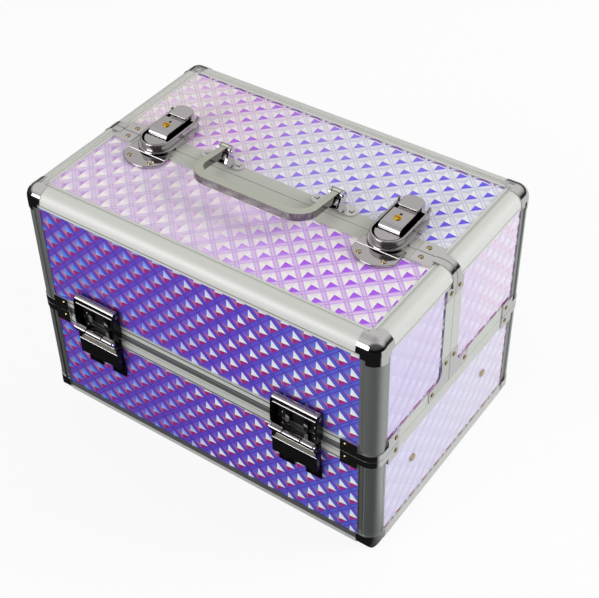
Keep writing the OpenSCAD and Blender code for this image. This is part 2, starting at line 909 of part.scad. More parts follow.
module lock_key() {
  translate([0, key_y, plate_z0 - 1.6]) cylinder(h = plate_z1 - plate_z0 + 1.8, r = key_r);
  translate([0, key_y, plate_z1 + 0.1]) difference() {
    cylinder(h = 1, r = key_r + 0.6);
    block([-0.6, -2.4, 0.4], [0.6, 2.4, 2]);
  }
}

module lock_lever_at(s) {
  color("silver") translate([s * lock_x, split_y, case_h]) lock_lever();
}

module lock_key_at(s) {
  color("goldenrod") translate([s * lock_x, split_y, case_h]) lock_key();
}

// ---------- handle ----------

bracket_w = 44;
bracket_y = 11;
yoke_gap = 9;
yoke_t = 2;
handle_pin_r = 2;
eye_r = 4.4;

module handle_bracket() {
  z0 = -strip_drop;
  plate = 1.4;
  translate([0, bracket_y, z0]) linear_extrude(plate) rotate(90) stadium(12, -bracket_w / 2, bracket_w / 2);
  for (s = [-1, 1]) {
    x = s * (yoke_gap / 2 + yoke_t / 2);
    translate([x - yoke_t / 2, handle_pin_back, 0]) rotate([90, 0, 90]) linear_extrude(yoke_t) {
      translate([0, handle_pin_up]) circle(eye_r);
      polygon([[-9, z0 + plate - eps], [2, z0 + plate - eps], [eye_r, handle_pin_up], [-eye_r, handle_pin_up]]);
    }
    translate([s * (bracket_w / 2 - 5), bracket_y, z0 + plate]) rivet();
  }
  pin_len = yoke_gap + 2 * yoke_t + 2;
  translate([0, handle_pin_back, handle_pin_up]) rotate([0, 90, 0]) {
    cylinder(h = pin_len, r = handle_pin_r, center = true);
  }
}

module handle_brackets() {
  color("silver") for (s = [-1, 1]) translate([s * handle_x, split_y, case_h]) handle_bracket();
}

// Outline of the handle seen square on, with its pins on the X axis and the grip below
module handle_outline() {
  leg_w = 6.5;
  bend = 20;
  outer = handle_x + leg_w / 2;
  low = -handle_reach - grip_w / 2;
  difference() {
    union() {
      translate([-outer, low + bend]) square([2 * outer, -low - bend - eye_r + 1]);
      translate([-outer + bend, low]) square([2 * (outer - bend), bend]);
      for (s = [-1, 1]) translate([s * (outer - bend), low + bend]) circle(bend);
    }
    inner = outer - leg_w;
    in_bend = bend - leg_w;
    in_low = low + grip_w;
    translate([-inner, in_low + in_bend]) square([2 * inner, handle_reach * 2]);
    translate([-inner + in_bend, in_low]) square([2 * (inner - in_bend), in_bend + eps]);
    for (s = [-1, 1]) translate([s * (inner - in_bend), in_low + in_bend]) circle(in_bend);
  }
}

module handle() {
  color("silver") translate([0, split_y + handle_pin_back, case_h + handle_pin_up]) rotate([-handle_tilt, 0, 0]) {
    difference() {
      union() {
        translate([0, 0, -handle_t / 2]) linear_extrude(handle_t) handle_outline();
        for (s = [-1, 1]) {
          translate([s * handle_x, 0, 0]) rotate([0, 90, 0]) cylinder(h = 8, r = eye_r, center = true);
        }
      }
      rotate([0, 90, 0]) cylinder(h = case_w, r = handle_pin_r + run_gap, center = true);
    }
  }
}

// ---------- trays ----------

arm_gap = 1;
head_t = 0.6;
arm_out_x = half_w - strip_in - arm_gap;
arm_in_x = arm_out_x - arm_t;
tray_x = arm_in_x - 2.4;
arm_w = 11;
arm_pin_r = 2;
low_rise = 5;
high_rise = 7.5;

// The arms are alike in both halves: the shallower lid gives the place of their upper pivots
pivot_in = min(front_d, rear_d) - arm_back;
// Place on an arm, at a distance from its lower pivot: in from the face, then up
function arm_point(length) = [arm_in + length * sin(arm_lean), arm_z + length * cos(arm_lean)];

// Undersides of the upper and lower trays, from the lids' lining down
tray_high_z = case_h - lining_in - tray_head - tray_high_h;
tray_low_z = tray_high_z - tray_gap - tray_low_h;
arm_high = (tray_high_z + high_rise - arm_z) / cos(arm_lean);
arm_in = pivot_in - arm_high * sin(arm_lean);
arm_low = (tray_low_z + low_rise - arm_z) / cos(arm_lean);
low_pivot = arm_point(arm_low);
high_pivot = arm_point(arm_high);
// Link from the upper tray's outer side to the lid, whose pin has play in the link's wide eye
link_down = 4.5;
link_play = 1.8;
link_eye_r = 6.5;
// Pins of the links: on the trays, in from their outer sides; on the lids, from the arms' upper pivots and down
link_front_in = 10;
link_rear_in = 14;
link_reach = 11.8;
link_front_drop = 21.3;
link_rear_drop = 18.3;
link_top = case_h - lining_in;

function link_tray(rear) = [tray_in + (rear ? link_rear_in : link_front_in), high_pivot[1] - link_down];
function link_lid(rear) = [pivot_in - link_reach, link_top - (rear ? link_rear_drop : link_front_drop)];

// A pin along X at a place in from the face and up
module end_pin(place, x0, x1, r) {
  translate([x0, place[0], place[1]]) rotate([0, 90, 0]) cylinder(h = x1 - x0, r = r);
}

module arm_holes() {
  for (s = [0, 1]) at_wall(s == 1) both_ends() {
    end_pin([arm_in, arm_z], half_w - 2 * strip_in, half_w + strip_in, arm_pin_r);
  }
}

module arm_pin() {
  end_pin([arm_in, arm_z], arm_in_x - 1, half_w - sheet_drop, arm_pin_r);
  end_pin([arm_in, arm_z], arm_in_x - 1.2, arm_in_x - 0.2, arm_pin_r + 1.6);
  rivet_end(half_w - sheet_drop, arm_in, arm_z);
}

// A flat bar between two places, with an eye round each
module bar_outline(a, b, width, r_b, hole_a, hole_b) {
  run = b - a;
  length = norm(run);
  translate(a) rotate(atan2(run[1], run[0])) difference() {
    union() {
      circle(width / 2);
      translate([length, 0]) circle(r_b);
      translate([0, -width / 2]) square([length, width]);
    }
    circle(hole_a);
    translate([length, 0]) circle(hole_b);
  }
}

module tray_arms(rear) {
  hole = arm_pin_r + run_gap;
  length = arm_high + arm_w;
  color("silver") at_wall(rear) both_ends() translate([arm_in_x, arm_in, arm_z]) rotate([-arm_lean, 0, 0]) {
    rotate([90, 0, 90]) linear_extrude(arm_t) difference() {
      union() {
        circle(arm_w / 2);
        translate([0, arm_high]) circle(arm_w / 2);
        translate([-arm_w / 2, 0]) square([arm_w, arm_high]);
      }
      circle(hole);
      translate([0, arm_low]) circle(hole);
      translate([0, arm_high]) circle(hole);
    }
  }
}

module tray(rear, pivot, rise, height, linked) {
  d = rear ? rear_d : front_d;
  z0 = pivot[1] - rise;
  far = d - 2;
  dividers = 3;
  at_wall(rear) {
    difference() {
      block([-tray_x, tray_in, z0], [tray_x, far, z0 + height]);
      block([-tray_x + tray_wall, tray_in + tray_wall, z0 + tray_wall], [tray_x - tray_wall, far - tray_wall, 2 * case_h]);
    }
    step = 2 * tray_x / (dividers + 1);
    for (i = [1 : dividers]) {
      x = -tray_x + i * step;
      block([x - tray_wall / 2, tray_in + tray_wall, z0 + tray_wall],
        [x + tray_wall / 2, far - tray_wall, z0 + height * 0.75]);
    }
    both_ends() {
      end_pin(pivot, tray_x - eps, arm_out_x + 0.2, arm_pin_r);
      end_pin(pivot, arm_out_x + 0.15, arm_out_x + 0.15 + head_t, arm_pin_r + 1);
      if (linked) {
        end_pin(link_tray(rear), tray_x - eps, arm_out_x + 0.2, arm_pin_r);
        end_pin(link_tray(rear), arm_out_x + 0.15, arm_out_x + 0.15 + head_t, arm_pin_r + 1);
      }
    }
  }
}

module links(rear) {
  color("silver") at_wall(rear) both_ends() translate([arm_in_x, 0, 0]) rotate([90, 0, 90]) {
    linear_extrude(arm_t) {
      bar_outline(link_tray(rear), link_lid(rear), arm_w, link_eye_r, arm_pin_r + run_gap, arm_pin_r + link_play);
    }
  }
}

// The lid's pin, which stands in the link's wide eye
module lid_link_pins(rear) {
  at_wall(rear) both_ends() end_pin(link_lid(rear), arm_in_x - 0.5, half_w - lining_in, arm_pin_r);
}

// ---------- pieces of the two lids ----------

module front_box() { color("dimgray") lid_box(false); }
module rear_box() { color("dimgray") lid_box(true); }
module front_lining() { color("black") lid_lining(false); }
module rear_lining() { color("black") lid_lining(true); }
module base_front_sheet() { color("mediumslateblue") base_wall_sheet(false); }
module base_back_sheet() { color("mediumslateblue") base_wall_sheet(true); }
module front_front_sheet() { color("slateblue") lid_wall_sheet(false); }
module rear_back_sheet() { color("slateblue") lid_wall_sheet(true); }
module front_top_sheet() { color("plum") lid_top_sheet(false); }
module rear_top_sheet() { color("lavender") lid_top_sheet(true); }
module front_end_sheets() { color("thistle") lid_end_sheets(false); }
module rear_end_sheets() { color("thistle") lid_end_sheets(true); }
module front_rails() { color("silver") lid_rails(false); }
module rear_rails() { color("silver") lid_rails(true); }
module front_rim() { color("lightgray") lid_rim(false); }
module rear_rim() { color("lightgray") lid_rim(true); }
module front_split_trim() { color("lightgray") lid_split_trim(false); }
module rear_split_trim() { color("lightgray") lid_split_trim(true); }
module front_corner_caps() { color("gray") lid_corner_caps(false); }
module rear_corner_caps() { color("gray") lid_corner_caps(true); }
module front_seam_plates() { color("gray") seam_plates_lid(false); }
module rear_seam_plates() { color("gray") seam_plates_lid(true); }
module front_split_plates() { color("gray") lid_split_plates(false); }
module rear_split_plates() { color("gray") lid_split_plates(true); }

module front_rivets() {
  color("lightgray") {
    lid_rivets(false);
    lid_link_pins(false);
    lock_places() for (s = [-1, 1]) translate([s * 11.5, -strike_front + 8.5, strike_t - 0.8]) rivet();
  }
}

module rear_rivets() {
  color("lightgray") {
    lid_rivets(true);
    lid_link_pins(true);
    at_wall(true) latch_places() for (s = [-1, 0, 1]) {
      rivet_front(s * leaf_w / 3, -plate_out, seam_z + knuckle_r + leaf_h / 2);
    }
  }
}

module front_lower_tray() { color("gainsboro") tray(false, low_pivot, low_rise, tray_low_h, false); }
module front_upper_tray() { color("gainsboro") tray(false, high_pivot, high_rise, tray_high_h, true); }
module rear_lower_tray() { color("gainsboro") tray(true, low_pivot, low_rise, tray_low_h, false); }
module rear_upper_tray() { color("gainsboro") tray(true, high_pivot, high_rise, tray_high_h, true); }

base_box();
base_lining();
base_front_sheet();
base_back_sheet();
base_end_sheets();
base_posts();
base_bottom_trim();
base_rim();
corner_shoes();
base_seam_plates();
base_rivets();
latch_bases();
hinge_lower_leaves();
hinge_pins();
front_box();
front_lining();
front_front_sheet();
front_top_sheet();
front_end_sheets();
front_rails();
front_rim();
front_split_trim();
front_corner_caps();
front_seam_plates();
front_split_plates();
front_rivets();
strike_plates();
latch_keepers();
rear_box();
rear_lining();
rear_back_sheet();
rear_top_sheet();
rear_end_sheets();
rear_rails();
rear_rim();
rear_split_trim();
rear_corner_caps();
rear_seam_plates();
rear_split_plates();
rear_rivets();
hinge_upper_leaves();
handle_brackets();
lock_bases();
handle();
lock_lever_at(-1);  // lock_lever_left
lock_lever_at(1);  // lock_lever_right
lock_key_at(-1);  // lock_key_left
lock_key_at(1);  // lock_key_right
lever_at(-1);  // latch_lever_left
lever_at(1);  // latch_lever_right
tray_arms(false);  // front_arms
tray_arms(true);  // rear_arms
front_lower_tray();
front_upper_tray();
rear_lower_tray();
rear_upper_tray();
links(false);  // front_links
links(true);  // rear_links
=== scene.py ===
import bpy
import bmesh
import math
from mathutils import Matrix, Vector


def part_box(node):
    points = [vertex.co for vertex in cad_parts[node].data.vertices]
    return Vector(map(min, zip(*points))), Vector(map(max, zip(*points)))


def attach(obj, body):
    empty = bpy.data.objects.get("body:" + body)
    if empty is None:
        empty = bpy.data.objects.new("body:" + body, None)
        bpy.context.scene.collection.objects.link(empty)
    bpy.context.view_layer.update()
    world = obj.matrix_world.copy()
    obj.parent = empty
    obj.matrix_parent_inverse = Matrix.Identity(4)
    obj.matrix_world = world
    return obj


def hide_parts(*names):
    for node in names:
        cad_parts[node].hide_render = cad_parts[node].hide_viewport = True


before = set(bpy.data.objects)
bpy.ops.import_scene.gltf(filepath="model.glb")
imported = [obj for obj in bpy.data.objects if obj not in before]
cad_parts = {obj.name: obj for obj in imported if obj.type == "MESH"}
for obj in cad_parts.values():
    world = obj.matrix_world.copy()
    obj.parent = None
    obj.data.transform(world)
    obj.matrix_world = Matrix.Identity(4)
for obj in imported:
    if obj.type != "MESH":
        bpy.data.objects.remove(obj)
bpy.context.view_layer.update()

# ---------- the case's own sizes, in metres ----------

MM = 0.001
HALF_W = 180 * MM
HALF_D = 121 * MM
MID_Y = 3 * MM
FRONT_Y = MID_Y - HALF_D
BACK_Y = MID_Y + HALF_D
SPLIT_Y = FRONT_Y + 113.5 * MM
TOP_Z = max(corner[2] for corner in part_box("front_rails"))
SEAM_Z = 110 * MM
RAIL_LEG = 17.5 * MM
STRIP_W = 13 * MM
TRIM_TOP = 11 * MM
LATCH_X = 106.5 * MM
LOCK_X = 118.5 * MM
# Where the embossed sheets show between the rails and strips
SIDE = HALF_W - RAIL_LEG
FRONT_TOP_Y = (FRONT_Y + RAIL_LEG, SPLIT_Y - STRIP_W)
REAR_TOP_Y = (SPLIT_Y + STRIP_W, BACK_Y - RAIL_LEG)
WHOLE_Y = (FRONT_TOP_Y[0], REAR_TOP_Y[1])
LID_Z = (SEAM_Z + STRIP_W, TOP_Z - RAIL_LEG)
BASE_Z = (TRIM_TOP, SEAM_Z - STRIP_W)


# ---------- materials ----------

def linear(code):
    """An sRGB hex colour as Blender's linear values."""
    parts = [int(code[i:i + 2], 16) / 255 for i in (0, 2, 4)]
    return [c / 12.92 if c <= 0.04045 else ((c + 0.055) / 1.055) ** 2.4 for c in parts] + [1.0]


def shader_node(tree, kind, settings, links=None):
    """Adds a node, sets its values or properties, and feeds its inputs from other nodes' outputs.

    An input goes by its name or number. A colour Mix takes its factor at 0 and its colours at 6 and 7,
    and gives the result at output 2."""
    made = tree.nodes.new("ShaderNode" + kind)
    for key, value in settings.items():
        if isinstance(key, int) or key in made.inputs:
            made.inputs[key].default_value = value
        else:
            setattr(made, key, value)
    for key, output in (links or {}).items():
        tree.links.new(output, made.inputs[key])
    return made


def new_material(name):
    """An empty material with a Principled surface."""
    mat = bpy.data.materials.new(name)
    mat.use_nodes = True
    return mat, mat.node_tree, mat.node_tree.nodes["Principled BSDF"]


def set_ramp(ramp, stops, interpolation="LINEAR"):
    """Gives a colour ramp its (place, hex colour) stops."""
    ramp.color_ramp.interpolation = interpolation
    elements = ramp.color_ramp.elements
    while len(elements) > 1:
        elements.remove(elements[-1])
    elements[0].position = stops[0][0]
    elements[0].color = linear(stops[0][1])
    for place, code in stops[1:]:
        elements.new(place).color = linear(code)


def plain(name, code, roughness, metallic=0.0):
    """An even finish without a pattern."""
    mat, _, surface = new_material(name)
    surface.inputs["Base Color"].default_value = linear(code)
    surface.inputs["Metallic"].default_value = metallic
    surface.inputs["Roughness"].default_value = roughness
    return mat


# Painted shade: the uprights take this darker tint
UPRIGHT_SHADE_TINT = "b6bbb9"
END_SKIN = 2.5 * MM     # what lies this close to the case's ends belongs to their faces
WIDE_BAND = 5 * MM      # half width from which a band is a painted gleam and not a groove's painted shade


def banded_aluminium(name, code, roughness, bands, upright_below):
    """Extruded, matt-anodised aluminium with painted light: painted pale along the level bars, painted darker on
    the uprights as shade, and banded with painted gleams and the painted shade of its grooves.

    A band is (axis, middle, distance from the middle, half width, tint, whether the end faces have it too).
    Below the height upright_below the bars stand upright."""
    mat, tree, surface = new_material(name)
    place = shader_node(tree, "TexCoord", {})
    parts = shader_node(tree, "SeparateXYZ", {}, {"Vector": place.outputs["Object"]})
    side = shader_node(tree, "Math", {"operation": "ABSOLUTE"}, {0: parts.outputs["X"]})
    front = shader_node(tree, "Math", {"operation": "LESS_THAN", 1: HALF_W - END_SKIN}, {0: side.outputs[0]})
    stands = shader_node(tree, "Math", {"operation": "LESS_THAN", 1: upright_below}, {0: parts.outputs["Z"]})
    tint = shader_node(tree, "Mix", {"data_type": "RGBA", 6: linear(code), 7: linear(UPRIGHT_SHADE_TINT)},
                       {0: stands.outputs[0]})
    for axis, middle, spot, half, band_code, everywhere in bands:
        off = shader_node(tree, "Math", {"operation": "SUBTRACT", 1: middle}, {0: parts.outputs[axis]})
        away = shader_node(tree, "Math", {"operation": "ABSOLUTE"}, {0: off.outputs[0]})
        miss = shader_node(tree, "Math", {"operation": "SUBTRACT", 1: spot}, {0: away.outputs[0]})
        gap = shader_node(tree, "Math", {"operation": "ABSOLUTE"}, {0: miss.outputs[0]})
        # A painted gleam fades out like the light on a round edge; a groove's painted shade is crisp
        crisp = 0.55 if half > WIDE_BAND else 0.92
        line = shader_node(tree, "MapRange", {"From Min": crisp * half, "From Max": 1.08 * half,
                                              "To Min": 1.0, "To Max": 0.0}, {"Value": gap.outputs[0]})
        if not everywhere:
            line = shader_node(tree, "Math", {"operation": "MULTIPLY"}, {0: line.outputs[0], 1: front.outputs[0]})
        tint = shader_node(tree, "Mix", {"data_type": "RGBA", 7: linear(band_code)},
                           {0: line.outputs[0], 6: tint.outputs[2]})
    tree.links.new(tint.outputs[2], surface.inputs["Base Color"])
    sheen = shader_node(tree, "MapRange", {"To Min": 0.18, "To Max": 0.85}, {"Value": stands.outputs[0]})
    tree.links.new(sheen.outputs["Result"], surface.inputs["Metallic"])
    grain = shader_node(tree, "TexNoise", {"Scale": 900.0, "Detail": 2.0}, {"Vector": place.outputs["Object"]})
    rough = shader_node(tree, "MapRange", {"To Min": roughness - 0.03, "To Max": roughness + 0.05},
                        {"Value": grain.outputs["Fac"]})
    tree.links.new(rough.outputs["Result"], surface.inputs["Roughness"])
    surface.inputs["Specular IOR Level"].default_value = 0.3
    return mat


# Facets of the embossing, as numbered in the sheets' own attribute
FACETS = ["ground", "up_right", "up_left", "down_left", "down_right", "line"]


def embossed_film(name, palettes, axis, rims=()):
    """Colour-shifting film over pressed pyramids: each facet takes its own tint, which drifts along the panel; the
    tints are the film's own colours with painted light in them, lighter or darker by how each facet faces the
    light.

    A palette is (place along the axis, tints at the pyramids' feet, tints at their peaks, mostly lighter there as
    painted glints).
    A rim is (axis, place of the edge, reach to either side of it, tint of its painted shade)."""
    mat, tree, surface = new_material(name)
    facet = shader_node(tree, "Attribute", {"attribute_name": "facet"})
    rise = shader_node(tree, "Attribute", {"attribute_name": "rise"})
    scaled = shader_node(tree, "Math", {"operation": "DIVIDE", 1: float(len(FACETS))}, {0: facet.outputs["Fac"]})
    place = shader_node(tree, "TexCoord", {})
    parts = shader_node(tree, "SeparateXYZ", {}, {"Vector": place.outputs["Object"]})
    # The drift is uneven over some 60 mm
    blotch = shader_node(tree, "TexNoise", {"Scale": 15.0, "Detail": 1.0}, {"Vector": place.outputs["Object"]})
    sway = shader_node(tree, "MapRange", {"From Min": 0.3, "From Max": 0.7, "To Min": -0.022, "To Max": 0.022},
                       {"Value": blotch.outputs["Fac"]})
    along = shader_node(tree, "Math", {"operation": "ADD"}, {0: parts.outputs[axis], 1: sway.outputs["Result"]})
    colour = None
    before = None
    for spot, feet, peaks in palettes:
        ends = []
        for tints in (feet, peaks):
            ramp = shader_node(tree, "ValToRGB", {}, {"Fac": scaled.outputs[0]})
            stops = [(max(0.0, (i - 0.5) / len(FACETS)), tint) for i, tint in enumerate(tints)]
            set_ramp(ramp, stops, "CONSTANT")
            ends.append(ramp.outputs["Color"])
        here = shader_node(tree, "Mix", {"data_type": "RGBA"}, {0: rise.outputs["Fac"], 6: ends[0], 7: ends[1]})
        if colour is None:
            colour = here.outputs[2]
        else:
            share = shader_node(tree, "MapRange", {"From Min": before, "From Max": spot},
                                {"Value": along.outputs[0]})
            both = shader_node(tree, "Mix", {"data_type": "RGBA"},
                               {0: share.outputs["Result"], 6: colour, 7: here.outputs[2]})
            colour = both.outputs[2]
        before = spot
    # Pyramids cut off at the frame fold down there, and are painted dark as painted shade under the frame's edge
    raised = shader_node(tree, "Math", {"operation": "GREATER_THAN", 1: 0.5}, {0: facet.outputs["Fac"]})
    for rim_axis, spot, reach, tint in rims:
        near = shader_node(tree, "Math", {"operation": "COMPARE", 1: spot, 2: reach},
                           {0: parts.outputs[rim_axis]})
        fold = shader_node(tree, "Math", {"operation": "MULTIPLY"}, {0: near.outputs[0], 1: raised.outputs[0]})
        rim_shade = shader_node(tree, "Mix", {"data_type": "RGBA", 7: linear(tint)}, {0: fold.outputs[0], 6: colour})
        colour = rim_shade.outputs[2]
    tree.links.new(colour, surface.inputs["Base Color"])
    surface.inputs["Roughness"].default_value = 0.24
    surface.inputs["Coat Weight"].default_value = 0.35
    surface.inputs["Coat Roughness"].default_value = 0.1
    return mat


# The grooves, painted as lines of shade, run this far in from the case's outer faces
RAIL_GROOVE = 14.6 * MM
GROOVE_HALF = 0.3 * MM
RAIL_BANDS = [
    # a painted highlight where the turned-down leg catches the light
    (2, 0.0, TOP_Z - 9.0 * MM, 7.5 * MM, "e4e5e2", True),
    # painted shade in the grooves
    (1, MID_Y, HALF_D - RAIL_GROOVE, GROOVE_HALF, "9c9d98", False),
    (0, 0.0, HALF_W - RAIL_GROOVE, GROOVE_HALF, "9c9d98", True),
    (2, 0.0, TOP_Z - RAIL_GROOVE, 0.5 * MM, "8c8d88", True)]
POST_BANDS = [
    # painted shade in the groove, a painted highlight stripe along the roll, and two darker lines of painted shade
    # beside it
    (1, MID_Y, HALF_D - RAIL_GROOVE, GROOVE_HALF, "5c5d5a", True),
    (0, 0.0, HALF_W - 10.6 * MM, 0.4 * MM, "dfe3e1", True),
    (0, 0.0, HALF_W - 12.0 * MM, 0.4 * MM, "7a7e7e", True),
    (0, 0.0, HALF_W - 16.4 * MM, 0.5 * MM, "7a7e7e", True)]
SEAM_BANDS = [
    # painted shade in the hollow between the seam's lips, and a line along it
    (2, 0.0, SEAM_Z + 0.2 * MM, 4.2 * MM, "606264", False),
    (2, 0.0, SEAM_Z + 0.6 * MM, 0.7 * MM, "8a8c8c", False),
    # painted shade along the strips' outer edges
    (2, 0.0, SEAM_Z + 10.6 * MM, 0.8 * MM, "6c6c6c", False),
    (2, 0.0, SEAM_Z - 11.4 * MM, 0.8 * MM, "6c6c6c", False),
    # painted shade along the bottom trim's upper edge, and the strips along the split
    (2, 0.0, 8.4 * MM, 2.8 * MM, "606062", False),
    (2, 0.0, TOP_Z, 6.0 * MM, "c9cac3", True)]
rail_metal = banded_aluminium("satin_anodised_aluminium", "dcddd9", 0.5, RAIL_BANDS, TOP_Z - RAIL_LEG)
post_metal = banded_aluminium("satin_aluminium_upright", "d2d3cb", 0.36, POST_BANDS, TOP_Z)
strip_metal = banded_aluminium("satin_aluminium_strip", "d2d4d0", 0.38, SEAM_BANDS, 0.0)
# Mirror-bright plating on caps, plates, hinges and brackets
chrome = plain("chrome_plated_steel", "dcd9dc", 0.06, 1.0)
# The same plating a little greyed as painted shade: locks and latch levers
greyed_shade_chrome = plain("plain_chrome_plated_steel", "c6c1c4", 0.10, 1.0)
# The greyest copy of the plating, as deeper painted shade: the latches' keepers and knuckles
deep_shade_chrome = plain("deep_shade_chrome_plated_steel", "a49fa2", 0.10, 1.0)
# The handle's flats take a pale copy of the plating as painted light, its sides a dark copy as painted shade
handle_top_light_chrome = plain("handle_top_light_chrome_plated_steel", "f2f3e8", 0.12, 1.0)
handle_side_shade_chrome = plain("handle_side_shade_chrome_plated_steel", "8d8b86", 0.10, 1.0)
# The latches' dark plates, and the satin band over each lever's shoulder, whose grey is a painted highlight
black_side = plain("black_nickel_side", "1a191c", 0.22, 0.7)
shoulder_light_steel = plain("shoulder_light_nickel_steel", "8f8d80", 0.3, 0.35)
# Warm little heads, and the gold of the locks' cylinders
rivet_metal = plain("nickel_plated_rivet", "c9b58e", 0.14, 1.0)
brass = plain("polished_brass", "f0bc34", 0.14, 1.0)
# Inside: cool grey arms over dull black trays and boards
steel = plain("zinc_plated_steel", "c4c6c8", 0.30, 1.0)
tray_plastic = plain("moulded_abs_black", "1d1d20", 0.42)
board = plain("painted_fibreboard", "26242a", 0.8)
# Openings that read as holes, painted black as shade
recess = plain("shadowed_recess", "060606", 0.7)


def felt():
    """Black flocked lining: dull, with a soft nap."""
    mat, tree, surface = new_material("flocked_felt")
    surface.inputs["Base Color"].default_value = linear("151517")
    surface.inputs["Roughness"].default_value = 0.95
    surface.inputs["Sheen Weight"].default_value = 0.5
    place = shader_node(tree, "TexCoord", {})
    nap = shader_node(tree, "TexNoise", {"Scale": 1400.0, "Detail": 2.0}, {"Vector": place.outputs["Object"]})
    bump = shader_node(tree, "Bump", {"Strength": 0.35, "Distance": 0.0004}, {"Height": nap.outputs["Fac"]})
    tree.links.new(bump.outputs["Normal"], surface.inputs["Normal"])
    return mat


lining_felt = felt()

# Every film's facet tints below mix the film's own colours with painted light: facets lit or shaded by their tint,
# and painted glints at the peaks
# Tints in the order of FACETS. Front and back: violet, with white and blue facets and crimson ones below
front_film = embossed_film("embossed_film_violet", [
    (-0.15, ["6f50cb", "3c77e8", "7e5fc4", "c46f98", "97308d", "5f43b8"],
            ["6f50cb", "72a3f7", "9caad9", "d597a9", "a73c79", "5f43b8"]),
    (-0.06, ["6d4ccf", "5f7bec", "7359cf", "b061a9", "9c3093", "5b43ba"],
            ["6d4ccf", "becbf8", "8177d5", "d9848f", "aa356d", "5b43ba"]),
    (0.03, ["674ad2", "e5e8f8", "6f50d4", "975dc1", "a0309a", "5943be"],
           ["674ad2", "f5f5fc", "675ddc", "da7e77", "a02961", "5943be"]),
    (0.14, ["5f65d9", "e9ecf9", "6f54d5", "8d5dcb", "aa35a1", "5047c1"],
           ["5f65d9", "f6f7fc", "2f9edf", "d57584", "9e2965", "5047c1"])], 0)
# Top, rear half: white with blue to violet facets
rear_top_film = embossed_film("embossed_film_white", [
    (-0.15, ["f0e2ee", "f6eef2", "f0e4ee", "f8f2ec", "ecd2ee", "e2d0e4"],
            ["f0e2ee", "f8f2f4", "f4eaf0", "faf6f0", "dcb0ec", "e2d0e4"]),
    (-0.08, ["f0dcf0", "f4e8f4", "f0e0f2", "f6eef4", "b264e2", "dfc6e6"],
            ["f0dcf0", "f8f0f6", "f4e6f4", "f8f2f4", "c870ee", "dfc6e6"]),
    (0.02, ["ebe8f6", "f2f0fa", "e6e4f4", "f2f2fa", "9478ee", "d8d4ec"],
           ["ebe8f6", "f6f4fc", "ecebf8", "f6f6fc", "a684f4", "d8d4ec"]),
    (0.12, ["eaebf8", "f2f3fb", "dcdcee", "f2f3fb", "5c4cee", "d4d4ee"],
           ["eaebf8", "f6f7fd", "e8e8f6", "f6f7fd", "7c68f6", "d4d4ee"])], 0,
    # painted shade along the back edge, under the rail
    rims=[(1, REAR_TOP_Y[1], 2.6 * MM, "8444b4")])
# Top, front half: lilac with violet facets
front_top_film = embossed_film("embossed_film_lilac", [
    (-0.14, ["e8d6f4", "eedcf8", "e8d6f4", "f0dff6", "f8f2ee", "dec6ee"],
            ["e8d6f4", "f8eefa", "d094ec", "b658da", "fdf9f4", "dec6ee"]),
    (-0.02, ["eadaf4", "f4e8f8", "f0e2f8", "eed8f4", "f4e8f6", "dfc6f0"],
            ["eadaf4", "fcf4fb", "f0dcf6", "dca8ec", "faf4f4", "dfc6f0"]),
    (0.03, ["e8cef6", "f6eef8", "f4eaf6", "f4e6f4", "d9b4f4", "d8b4f2"],
           ["e8cef6", "faf4fa", "f8f0f8", "f8eef4", "cf92f2", "d8b4f2"]),
    (0.08, ["e6c6f8", "f6eef8", "f4eaf6", "faf6f6", "b060f4", "d2a8f2"],
           ["e6c6f8", "fcf6fb", "faf4fa", "fdf9f8", "b050f0", "d2a8f2"])], 0)
# Ends: a pale film whose facets hardly differ, with purple edges of painted shade
LID_END_SHADE_RIMS = [(2, LID_Z[0], 3.2 * MM, "9a4a98"), (1, FRONT_TOP_Y[1], 2.6 * MM, "4c2a86"),
                (1, REAR_TOP_Y[1], 2.8 * MM, "6c327c")]
BASE_END_SHADE_RIMS = [(1, REAR_TOP_Y[1], 2.6 * MM, "8c3a6c"), (2, BASE_Z[0], 3.0 * MM, "985868")]
end_film = embossed_film("embossed_film_pale", [
    (-0.09, ["dbd2f9", "e0d7fb", "dbd2f9", "e1d5fb", "ddd5fb", "d9d0f7"],
            ["dbd2f9", "e2d9fd", "ddd5fb", "e4d5fb", "e0d7fd", "d9d0f7"]),
    (0.01, ["e4d7f7", "e8dbf9", "e4d9f9", "e7d5f7", "e7daf9", "e2d5f5"],
           ["e4d7f7", "eadffb", "e6dbfb", "ead1f3", "e9ddfb", "e2d5f5"]),
    (0.08, ["ecdff6", "f1e7fb", "ece2f9", "f0dbf3", "f0e3f9", "eaddf4"],
           ["ecdff6", "f3eafd", "eee5fb", "eea6cf", "f2e6fb", "eaddf4"])], 1, rims=LID_END_SHADE_RIMS)
base_end_film = embossed_film("embossed_film_faint", [
    (-0.09, ["e1ddfd", "e3dffe", "e1ddfd", "e2dcfd", "e3defe", "dfdbfb"],
            ["e1ddfd", "e5e1ff", "e3dffe", "e4ddfd", "e5dfff", "dfdbfb"]),
    (0.09, ["e8e2f9", "ebe5fb", "e8e2f9", "eadff7", "ebe3fa", "e6e0f7"],
           ["e8e2f9", "ede7fd", "eae4fb", "eedbf3", "ece5fb", "e6e0f7"])], 1, rims=BASE_END_SHADE_RIMS)


# ---------- building helpers ----------

def everything(bm):
    """All of a mesh, as the cutting operator wants it."""
    return bm.verts[:] + bm.edges[:] + bm.faces[:]


def edges_of(verts):
    """The edges at some vertices, each once, in the order in which they are met."""
    return list(dict.fromkeys(e for v in verts for e in v.link_edges))


def faces_of(verts):
    """The faces at some vertices, in the same way."""
    return list(dict.fromkeys(f for v in verts for f in v.link_faces))


def new_verts(result):
    """The vertices among what an operator made."""
    return [g for g in result["geom"] if isinstance(g, bmesh.types.BMVert)]


